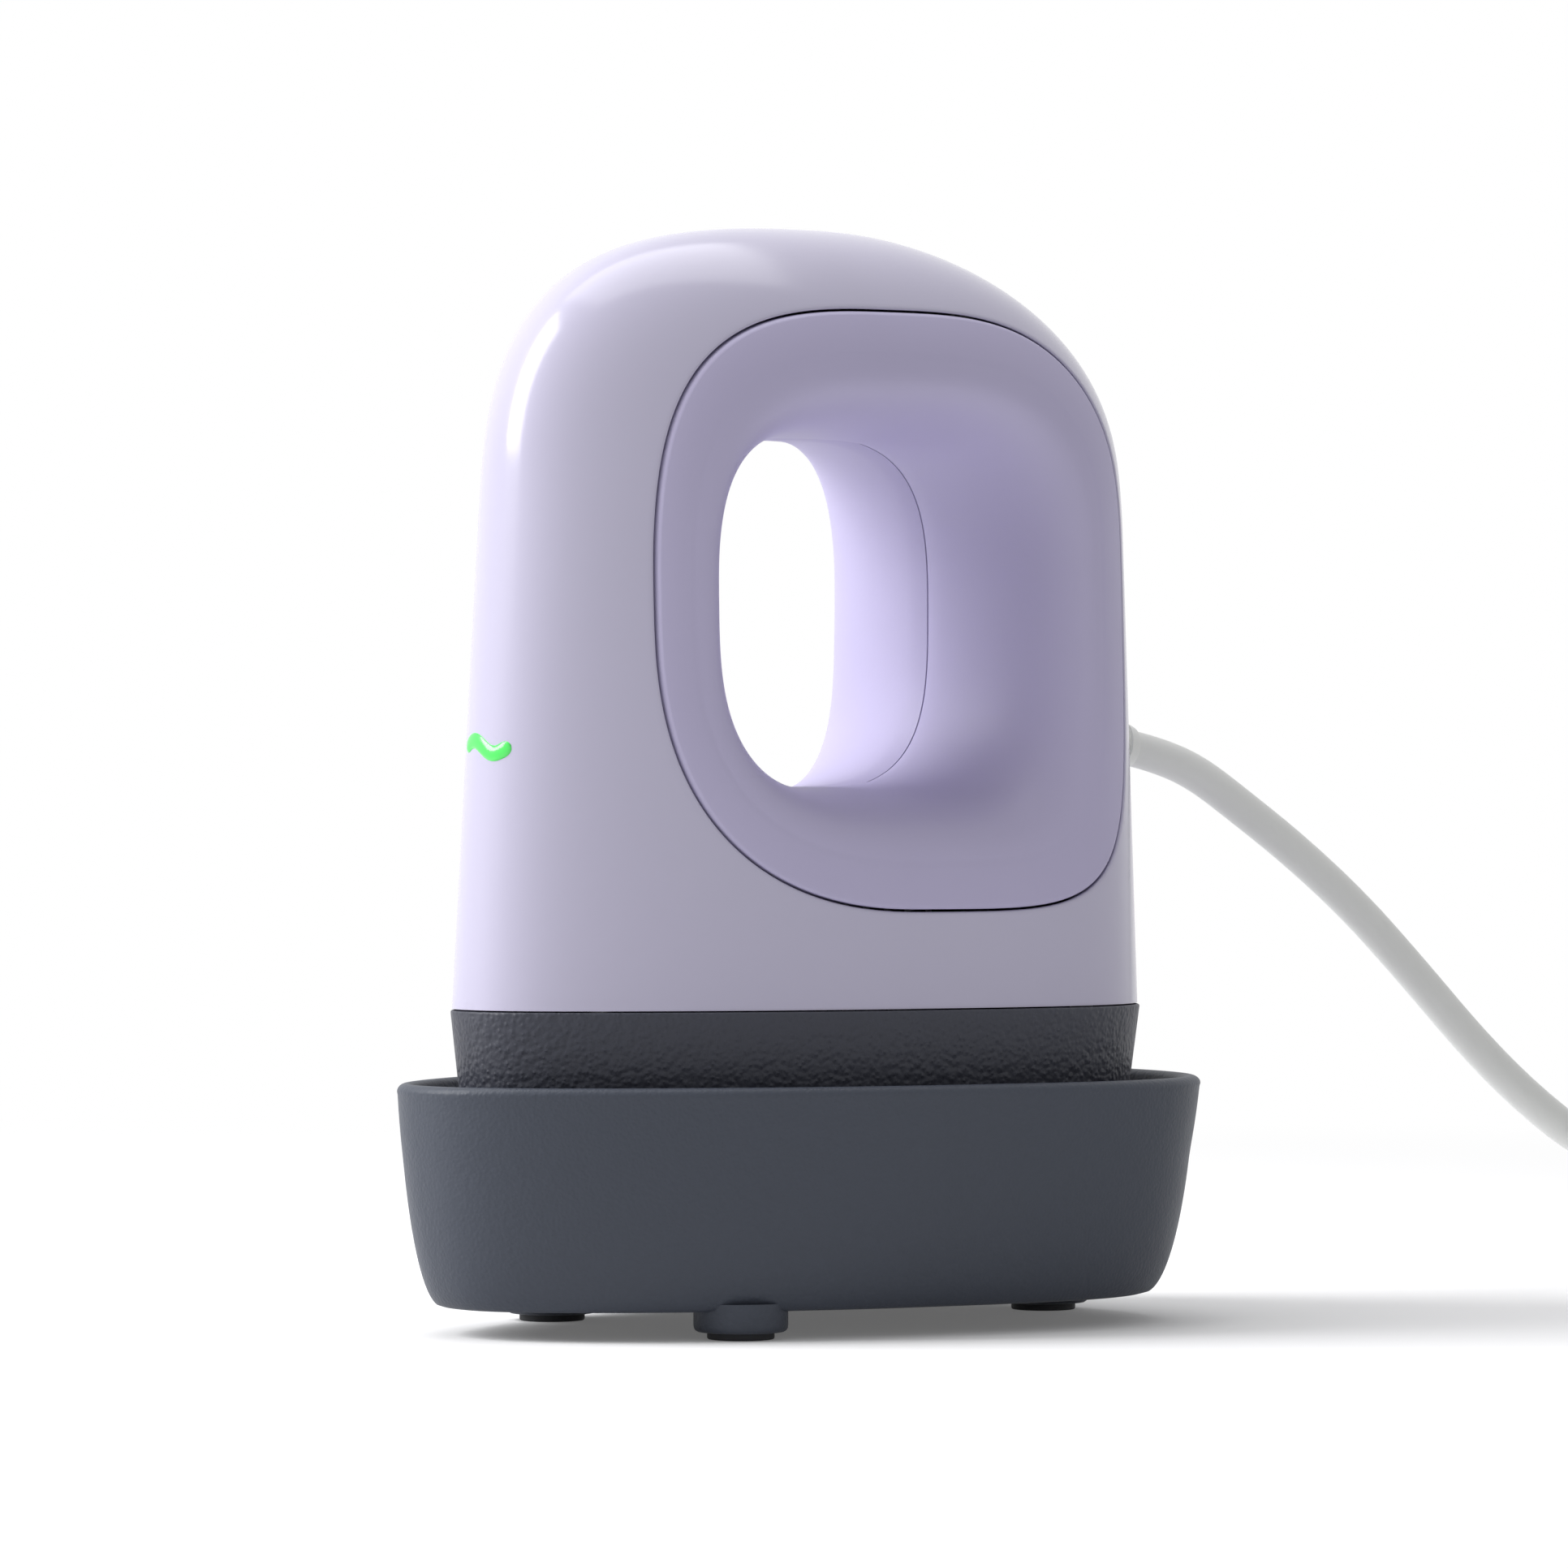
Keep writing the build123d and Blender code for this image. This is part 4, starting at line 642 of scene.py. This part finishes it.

# %% [markdown]
# ## The mains cord
#
# A cord is a fixed length of something flexible. It leaves the relief straight,
# falls in one long curve and lands on a neat coil of its spare length, with the
# plug beside it. The line is a smooth spline: its falling part is led by a few
# given points, and a short function works out the turns of the coil.

# %% Cord route
CORD_ROUTE = [
    tuple(along_exit(RELIEF_TIP)), tuple(along_exit(RELIEF_TIP + 4.0)),
    (68.4, 0.0, 70.7), (76.1, 0.0, 66.1), (86.0, 0.0, 59.9), (96.5, 0.0, 52.3),
    (106.5, -0.1, 43.5), (117.2, -0.2, 33.6), (126.5, -0.3, 26.2), (137.0, -0.5, 19.4),
    (145.5, -0.7, 17.05), (155.0, -0.9, 17.0), (164.0, -1.0, 17.0),
]
COIL_MIDDLE = (164.0, -33.8)
COIL_OUTSIDE = 32.8       # radius of the outermost turn's middle line
TURN_PITCH = 4.85
LAYERS = 4
TURNS_IN_LAYER = 2.2
TURNS_TO_STEP = 0.7 / 3   # the share of a turn that each step down takes
POINTS_PER_TURN = 20


def coil_points():
    """Flat spirals on top of each other, inwards and outwards in turn, from the top layer down."""
    cycle = TURNS_IN_LAYER + TURNS_TO_STEP
    total = LAYERS * cycle - TURNS_TO_STEP
    turns = np.arange(1, round(total * POINTS_PER_TURN) + 1) / POINTS_PER_TURN
    layer = np.floor(np.minimum(turns, total - 1e-6) / cycle)
    in_layer = turns - layer * cycle
    flat = np.minimum(in_layer, TURNS_IN_LAYER) * TURN_PITCH
    width = TURNS_IN_LAYER * TURN_PITCH
    radius = COIL_OUTSIDE - np.where(layer % 2 == 0, flat, width - flat)
    step = np.clip((in_layer - TURNS_IN_LAYER) / TURNS_TO_STEP, 0, 1)
    z = CORD_ROUTE[-1][2] - TURN_PITCH * (layer + step**2 * (3 - 2 * step))
    angle = np.pi / 2 - 2 * np.pi * turns
    x = COIL_MIDDLE[0] + radius * np.cos(angle)
    return np.stack([x, COIL_MIDDLE[1] + radius * np.sin(angle), z], axis=-1)


plug_low, plug_high = (np.array(corner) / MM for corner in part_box("plug_body"))
plug_middle = (plug_low + plug_high) / 2
coil = coil_points()
tail = [
    (COIL_MIDDLE[0] - 9.0, plug_middle[1], 3.2),
    (COIL_MIDDLE[0] - 18.0, plug_middle[1], 5.6),
    (plug_high[0] + 5.0, plug_middle[1], plug_middle[2]),
    (plug_high[0] - 3.0, plug_middle[1], plug_middle[2]),
]
route = np.vstack([CORD_ROUTE, coil, tail]) * MM

curve = bpy.data.curves.new("cord_line", "CURVE")
curve.dimensions = "3D"
curve.resolution_u = 8
spline = curve.splines.new("NURBS")
spline.points.add(len(route) - 1)
spline.points.foreach_set("co", np.c_[route, np.ones(len(route))].ravel())
spline.order_u = 3
spline.use_endpoint_u = True
line_object = bpy.data.objects.new("cord_line", curve)
line_mesh = bpy.data.meshes.new_from_object(line_object)
line = np.zeros(len(line_mesh.vertices) * 3)
line_mesh.vertices.foreach_get("co", line)
line = line.reshape(-1, 3)
bpy.data.objects.remove(line_object)

# %% [markdown]
# The cord's skin is a round section carried along that line. The section is
# turned as little as possible from one step to the next, so it never twists.

# %% Cord skin
CORD_SIDES = 18


def carried_frames(line):
    """Two directions across the line at each point, carried along it without twist."""
    ahead = np.gradient(line, axis=0)
    ahead /= np.linalg.norm(ahead, axis=1)[:, None]
    across = np.zeros_like(line)
    across[0] = np.cross(ahead[0], [0, 1, 0])
    across[0] /= np.linalg.norm(across[0])
    for i in range(1, len(line)):
        kept = across[i - 1] - ahead[i] * (across[i - 1] @ ahead[i])
        across[i] = kept / np.linalg.norm(kept)
    return across, np.cross(ahead, across)


def round_tube(line, radius, sides):
    """Rings of a tube, with the two ends drawn together to a pole."""
    across, over = carried_frames(line)
    turn = np.linspace(0, 2 * np.pi, sides, endpoint=False)
    ring = across[:, None] * np.cos(turn)[:, None] + over[:, None] * np.sin(turn)[:, None]
    tube = line[:, None] + radius * ring
    ends = [np.repeat(line[i][None], sides, axis=0) for i in (0, -1)]
    return [ends[0]] + list(tube) + [ends[1]]


cord = ring_piece("mains_cord", round_tube(line / MM, CORD_RADIUS, CORD_SIDES), sharp=60)

# %% [markdown]
# ## Surface effects shared by several materials
#
# Three node groups do the fine work. Mould grain gives the faint texture of
# moulded plastic, leather grain the pebbled skin of the collar and base, and
# brushing the fine lines of finished metal. Each puts out a height for a Bump
# node and a mask between 0 and 1, and each material sets its own scale.

# %% Node group helpers
def new_effect(name, inputs, outputs):
    """An empty shader node group with number inputs and outputs, given as name: default."""
    group = bpy.data.node_groups.new(name, "ShaderNodeTree")
    for label, default in inputs.items():
        socket = group.interface.new_socket(label, in_out="INPUT", socket_type="NodeSocketFloat")
        socket.default_value = default
    for label in outputs:
        group.interface.new_socket(label, in_out="OUTPUT", socket_type="NodeSocketFloat")
    nodes = group.nodes
    return group, nodes.new("NodeGroupInput"), nodes.new("NodeGroupOutput")


def math_node(tree, operation, first, second):
    """A Math node whose two values may each be a number or a socket."""
    node = tree.nodes.new("ShaderNodeMath")
    node.operation = operation
    for socket, value in zip(node.inputs, (first, second)):
        if isinstance(value, (int, float)):
            socket.default_value = value
        else:
            tree.links.new(value, socket)
    return node.outputs[0]


# %% Mould grain
EFFECT_OUTPUTS = ["Height", "Mask"]
mould_grain, given, put_out = new_effect(
    "mould grain", {"Scale": 900.0, "Patch scale": 30.0}, EFFECT_OUTPUTS
)
place = mould_grain.nodes.new("ShaderNodeTexCoord").outputs["Object"]
speckle = mould_grain.nodes.new("ShaderNodeTexNoise")
speckle.inputs["Detail"].default_value = 3.0
mould_grain.links.new(place, speckle.inputs["Vector"])
mould_grain.links.new(given.outputs["Scale"], speckle.inputs["Scale"])
patches = mould_grain.nodes.new("ShaderNodeTexNoise")
patches.inputs["Detail"].default_value = 2.0
mould_grain.links.new(place, patches.inputs["Vector"])
mould_grain.links.new(given.outputs["Patch scale"], patches.inputs["Scale"])
mould_grain.links.new(speckle.outputs["Fac"], put_out.inputs["Height"])
mould_grain.links.new(patches.outputs["Fac"], put_out.inputs["Mask"])

# %% Leather grain
leather_grain, given, put_out = new_effect(
    "leather grain", {"Scale": 700.0, "Wander": 0.6}, EFFECT_OUTPUTS
)
place = leather_grain.nodes.new("ShaderNodeTexCoord").outputs["Object"]
wander = leather_grain.nodes.new("ShaderNodeTexNoise")
wander.inputs["Scale"].default_value = 700.0
wander.inputs["Detail"].default_value = 3.0
leather_grain.links.new(place, wander.inputs["Vector"])
pebbles = leather_grain.nodes.new("ShaderNodeTexVoronoi")
pebbles.feature = "SMOOTH_F1"
leather_grain.links.new(place, pebbles.inputs["Vector"])
leather_grain.links.new(given.outputs["Scale"], pebbles.inputs["Scale"])
share = math_node(leather_grain, "MULTIPLY", wander.outputs["Fac"], given.outputs["Wander"])
domes = math_node(leather_grain, "SUBTRACT", 1.0, pebbles.outputs["Distance"])
leather_grain.links.new(math_node(leather_grain, "ADD", domes, share), put_out.inputs["Height"])
leather_grain.links.new(wander.outputs["Fac"], put_out.inputs["Mask"])

# %% Brushed lines
brushed_lines, given, put_out = new_effect(
    "brushed lines", {"Scale": 60.0, "Stretch": 30.0}, EFFECT_OUTPUTS
)
place = brushed_lines.nodes.new("ShaderNodeTexCoord").outputs["Object"]
parts = brushed_lines.nodes.new("ShaderNodeSeparateXYZ")
brushed_lines.links.new(place, parts.inputs[0])
joined = brushed_lines.nodes.new("ShaderNodeCombineXYZ")
brushed_lines.links.new(parts.outputs["X"], joined.inputs["X"])
for axis in ("Y", "Z"):
    stretched = math_node(brushed_lines, "MULTIPLY", parts.outputs[axis], given.outputs["Stretch"])
    brushed_lines.links.new(stretched, joined.inputs[axis])
lines = brushed_lines.nodes.new("ShaderNodeTexNoise")
lines.inputs["Detail"].default_value = 4.0
brushed_lines.links.new(joined.outputs[0], lines.inputs["Vector"])
brushed_lines.links.new(given.outputs["Scale"], lines.inputs["Scale"])
brushed_lines.links.new(lines.outputs["Fac"], put_out.inputs["Height"])
brushed_lines.links.new(lines.outputs["Fac"], put_out.inputs["Mask"])

# %% [markdown]
# ## Materials
#
# Every finish is a Principled shader fed by one of the effects: the mask mixes
# two close tones for the colour and two values for the roughness, and the
# height goes through a Bump node. What is the same all over the surface, such
# as the coat, is set straight on the shader.

# %% Finish builder
def tone(red, green, blue):
    """A colour given as it looks on screen, 0 to 255, as the linear values that nodes use."""
    screen = np.array([red, green, blue]) / 255
    linear = np.where(screen <= 0.04045, screen / 12.92, ((screen + 0.055) / 1.055) ** 2.4)
    return (*linear.tolist(), 1.0)


def new_finish(name, effect, settings, tones, roughness, bump=0.1, depth=0.0002, **fixed):
    """A Principled material whose colour, roughness and bump come from one effect group."""
    material = bpy.data.materials.new(name)
    material.use_nodes = True
    tree = material.node_tree
    shader = tree.nodes["Principled BSDF"]
    group = tree.nodes.new("ShaderNodeGroup")
    group.node_tree = effect
    for label, value in settings.items():
        group.inputs[label].default_value = value
    colour = tree.nodes.new("ShaderNodeMix")
    colour.data_type = "RGBA"
    colour.inputs["A"].default_value, colour.inputs["B"].default_value = tones
    tree.links.new(group.outputs["Mask"], colour.inputs["Factor"])
    tree.links.new(colour.outputs["Result"], shader.inputs["Base Color"])
    gloss = tree.nodes.new("ShaderNodeMapRange")
    gloss.inputs["To Min"].default_value, gloss.inputs["To Max"].default_value = roughness
    tree.links.new(group.outputs["Mask"], gloss.inputs["Value"])
    tree.links.new(gloss.outputs["Result"], shader.inputs["Roughness"])
    relief_node = tree.nodes.new("ShaderNodeBump")
    relief_node.inputs["Strength"].default_value = bump
    relief_node.inputs["Distance"].default_value = depth
    tree.links.new(group.outputs["Height"], relief_node.inputs["Height"])
    tree.links.new(relief_node.outputs["Normal"], shader.inputs["Normal"])
    for label, value in fixed.items():
        shader.inputs[label.replace("_", " ")].default_value = value
    return material


# %% Finishes of the visible pieces
FINISH = {}
FINISH["shell_gloss"] = new_finish(
    "glossy lilac", mould_grain, {"Scale": 300.0, "Patch scale": 25.0},
    (tone(187, 183, 205), tone(190, 186, 208)), (0.16, 0.24), 0.02, Coat_Weight=0.2, Coat_Roughness=0.14,
    Specular_IOR_Level=0.35,
)
FINISH["panel_matte"] = new_finish(
    "matte lilac", mould_grain, {"Scale": 1500.0, "Patch scale": 30.0},
    (tone(184, 178, 208), tone(189, 183, 213)), (0.42, 0.5), 0.12, 0.0001, Specular_IOR_Level=0.3,
)
FINISH["collar_plastic"] = new_finish(
    "collar leather grain", leather_grain, {"Scale": 1500.0, "Wander": 0.9},
    (tone(54, 56, 66), tone(58, 60, 71)), (0.42, 0.55), 0.6, 0.0003, Specular_IOR_Level=0.35,
)
FINISH["base_plastic"] = new_finish(
    "base fine grain", leather_grain, {"Scale": 2200.0, "Wander": 0.8},
    (tone(60, 65, 76), tone(64, 69, 80)), (0.45, 0.55), 0.3, 0.0002, Specular_IOR_Level=0.35,
)
FINISH["light_green"] = new_finish(
    "green light", mould_grain, {"Scale": 400.0, "Patch scale": 200.0},
    (tone(60, 205, 80), tone(80, 222, 98)), (0.15, 0.25), 0.02, Emission_Strength=0.12,
    Emission_Color=tone(80, 220, 100), Coat_Weight=0.3,
)
FINISH["cord_grey"] = new_finish(
    "cord sleeve", mould_grain, {"Scale": 1200.0, "Patch scale": 40.0},
    (tone(228, 229, 227), tone(234, 235, 233)), (0.4, 0.5), 0.08, 0.0001,
)
FINISH["rubber"] = new_finish(
    "black rubber", mould_grain, {"Scale": 1500.0, "Patch scale": 60.0},
    (tone(32, 33, 37), tone(44, 45, 50)), (0.6, 0.75), 0.2,
)

# %% Finishes of the pieces inside
FINISH["dark_plastic"] = new_finish(
    "dark moulding", mould_grain, {"Scale": 1200.0, "Patch scale": 50.0},
    (tone(38, 39, 44), tone(50, 51, 56)), (0.45, 0.6), 0.15,
)
FINISH["silicone"] = new_finish(
    "grey silicone", mould_grain, {"Scale": 900.0, "Patch scale": 60.0},
    (tone(96, 97, 102), tone(112, 113, 118)), (0.5, 0.7), 0.1,
)
FINISH["plate_metal"] = new_finish(
    "hot plate coat", mould_grain, {"Scale": 2200.0, "Patch scale": 40.0},
    (tone(150, 151, 156), tone(172, 173, 178)), (0.28, 0.42), 0.15, Metallic=0.9,
)
FINISH["element"] = new_finish(
    "heating ceramic", mould_grain, {"Scale": 800.0, "Patch scale": 80.0},
    (tone(222, 214, 198), tone(235, 228, 214)), (0.55, 0.7), 0.2,
)
FINISH["steel"] = new_finish(
    "brushed steel", brushed_lines, {"Scale": 60.0, "Stretch": 30.0},
    (tone(176, 177, 180), tone(202, 203, 206)), (0.25, 0.4), 0.1, 0.0001, Metallic=1.0,
)
FINISH["insulation"] = new_finish(
    "felt insulation", leather_grain, {"Scale": 500.0, "Wander": 1.5},
    (tone(222, 216, 200), tone(238, 233, 220)), (0.85, 0.95), 0.5, Sheen_Weight=0.3,
)
FINISH["brass"] = new_finish(
    "turned brass", brushed_lines, {"Scale": 90.0, "Stretch": 12.0},
    (tone(198, 160, 84), tone(222, 186, 108)), (0.2, 0.35), 0.1, 0.0001, Metallic=1.0,
)
FINISH["wire_sleeve"] = new_finish(
    "wire sleeve", brushed_lines, {"Scale": 300.0, "Stretch": 8.0},
    (tone(210, 204, 190), tone(228, 224, 212)), (0.5, 0.7), 0.3,
)
FINISH["board_green"] = new_finish(
    "circuit board", mould_grain, {"Scale": 500.0, "Patch scale": 120.0},
    (tone(24, 92, 52), tone(34, 112, 64)), (0.3, 0.45), 0.1, Coat_Weight=0.3,
)
FINISH["winding"] = new_finish(
    "winding tape", brushed_lines, {"Scale": 100.0, "Stretch": 20.0},
    (tone(196, 150, 52), tone(216, 172, 70)), (0.3, 0.45), 0.15,
)
FINISH["can_metal"] = new_finish(
    "capacitor can", brushed_lines, {"Scale": 80.0, "Stretch": 14.0},
    (tone(120, 122, 134), tone(146, 148, 160)), (0.25, 0.4), 0.1, 0.0001, Metallic=0.7,
)
FINISH["terminal_green"] = new_finish(
    "terminal moulding", mould_grain, {"Scale": 700.0, "Patch scale": 70.0},
    (tone(46, 132, 72), tone(58, 150, 86)), (0.35, 0.5), 0.1,
)
FINISH["pin_metal"] = new_finish(
    "plated pins", brushed_lines, {"Scale": 120.0, "Stretch": 20.0},
    (tone(205, 206, 210), tone(225, 226, 230)), (0.12, 0.25), 0.05, 0.0001, Metallic=1.0,
)

# %% [markdown]
# ## Putting the pieces on their bodies
#
# Each piece rides on the body that the real part belongs to, and hides the CAD
# solid that it stands for. The cord rides on no body: it is fixed in place, from
# the relief down to its coil on the floor.

# %% Ride, replace and paint
def install(piece, body, slot, *nodes):
    """Paints a piece, puts it on its body and hides the CAD solids that it replaces."""
    piece.data.materials.append(FINISH[slot])
    if body:
        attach(piece, body)
    if nodes:
        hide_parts(*nodes)


install(outer_shell, "press", "shell_gloss", "outer_shell")
install(right_panel, "press", "panel_matte", "right_side_panel")
install(left_panel, "press", "panel_matte", "left_side_panel")
install(collar_ring, "press", "collar_plastic", "collar")
install(wave_light, "press", "light_green", "indicator_lens")
install(button_cap, "button", "panel_matte", "power_button")
install(relief, "press", "cord_grey", "strain_relief")
install(tray, "base", "base_plastic", "base_tray")
for leg, pad in zip(legs, pads):
    install(leg, "base", "base_plastic", "base_tray")
    install(pad, "base", "rubber", "foot_pads")
install(cord, None, "cord_grey", "power_cord", "cord_coil", "cord_tail")
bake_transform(cord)

for part in frame["record"]["subparts"]:
    node = frame["nodes"][part["node"]]
    node.data.materials.clear()
    node.data.materials.append(FINISH[part["material_slot"]])

# %% [markdown]
# ## Floor, background and light
#
# The object stands on a white floor that runs out into a white background. Far
# away the floor is plain white; near the object it is a real surface, so the
# shadow shows. One large softbox at the left makes the bright edge, and a weak
# one overhead lights the crown and the cord.

# %% Floor
FLOOR_REACH = 30.0             # metres
FLOOR_TONE = (0.86, 0.86, 0.87, 1)
FLOOR_LIFT = 0.12              # a little glow, so the floor meets the white background
FADE_FROM, FADE_TO = 0.25, 0.6  # metres from the middle over which the floor turns plain white


def seen_directly(tree):
    """1 for a ray that the camera sees straight, mirrored or through glass, and 0 for the rest."""
    path = tree.nodes.new("ShaderNodeLightPath")
    seen = math_node(tree, "MAXIMUM", path.outputs["Is Camera Ray"], path.outputs["Is Glossy Ray"])
    return math_node(tree, "MAXIMUM", seen, path.outputs["Is Transmission Ray"])


floor_mesh = bpy.data.meshes.new("floor")
corners = [(-1, -1), (1, -1), (1, 1), (-1, 1)]
floor_points = [(x * FLOOR_REACH, y * FLOOR_REACH, 0) for x, y in corners]
floor_mesh.from_pydata(floor_points, [], [(0, 1, 2, 3)])
floor = bpy.data.objects.new("floor", floor_mesh)
bpy.context.scene.collection.objects.link(floor)

floor_look = bpy.data.materials.new("white floor")
floor_look.use_nodes = True
tree = floor_look.node_tree
tree.nodes.clear()
output = tree.nodes.new("ShaderNodeOutputMaterial")
paper = tree.nodes.new("ShaderNodeBsdfDiffuse")
paper.inputs["Color"].default_value = FLOOR_TONE
glow = tree.nodes.new("ShaderNodeEmission")
glow.inputs["Color"].default_value = (1, 1, 1, 1)
lift = tree.nodes.new("ShaderNodeEmission")
lift.inputs["Color"].default_value = (1, 1, 1, 1)
seen = seen_directly(tree)
tree.links.new(math_node(tree, "MULTIPLY", seen, FLOOR_LIFT), lift.inputs["Strength"])
near = tree.nodes.new("ShaderNodeAddShader")
tree.links.new(paper.outputs[0], near.inputs[0])
tree.links.new(lift.outputs[0], near.inputs[1])
place = tree.nodes.new("ShaderNodeTexCoord")
distance = tree.nodes.new("ShaderNodeVectorMath")
distance.operation = "LENGTH"
tree.links.new(place.outputs["Object"], distance.inputs[0])
fade = tree.nodes.new("ShaderNodeMapRange")
fade.interpolation_type = "SMOOTHSTEP"
fade.inputs["From Min"].default_value = FADE_FROM
fade.inputs["From Max"].default_value = FADE_TO
tree.links.new(distance.outputs["Value"], fade.inputs["Value"])
far = math_node(tree, "MULTIPLY", fade.outputs["Result"], seen)
mixed = tree.nodes.new("ShaderNodeMixShader")
tree.links.new(far, mixed.inputs[0])
tree.links.new(near.outputs[0], mixed.inputs[1])
tree.links.new(glow.outputs[0], mixed.inputs[2])
tree.links.new(mixed.outputs[0], output.inputs["Surface"])
floor_mesh.materials.append(floor_look)

# %% World
WORLD_LIGHT = 0.34       # light from all round; what is seen directly stays fully white
world = bpy.data.worlds.new("white room")
bpy.context.scene.world = world
world.use_nodes = True
tree = world.node_tree
tree.nodes.clear()
output = tree.nodes.new("ShaderNodeOutputWorld")
seen = seen_directly(tree)
strength = math_node(tree, "ADD", math_node(tree, "MULTIPLY", seen, 1 - WORLD_LIGHT), WORLD_LIGHT)
background = tree.nodes.new("ShaderNodeBackground")
background.inputs["Color"].default_value = (1, 1, 1, 1)
tree.links.new(strength, background.inputs["Strength"])
tree.links.new(background.outputs[0], output.inputs["Surface"])


# %% Softboxes
PRESS_MIDDLE = (0, 70, 0)      # as the camera sees it, in millimetres


def aim(toward):
    """The turn that aims a lamp's -Z axis along a direction, upright."""
    flat = math.hypot(toward[0], toward[1])
    return (math.atan2(flat, -toward[2]), 0.0, math.atan2(toward[1], toward[0]) - math.pi / 2)


def softbox(name, place, size, power):
    """A square area light at a place seen from the camera, aimed at the middle of the press."""
    data = bpy.data.lights.new(name, "AREA")
    data.shape = "RECTANGLE"
    data.size, data.size_y = size
    data.energy = power
    lamp = bpy.data.objects.new(name, data)
    lamp.location = seen_from_camera(*place)
    toward = np.array(seen_from_camera(*PRESS_MIDDLE)) - np.array(lamp.location)
    lamp.rotation_euler = aim(toward)
    bpy.context.scene.collection.objects.link(lamp)


softbox("key", (-800, 600, -60), (0.45, 0.75), 11.0)
softbox("top", (-60, 950, 120), (0.7, 0.7), 4.0)

bpy.context.scene.view_settings.view_transform = "Standard"
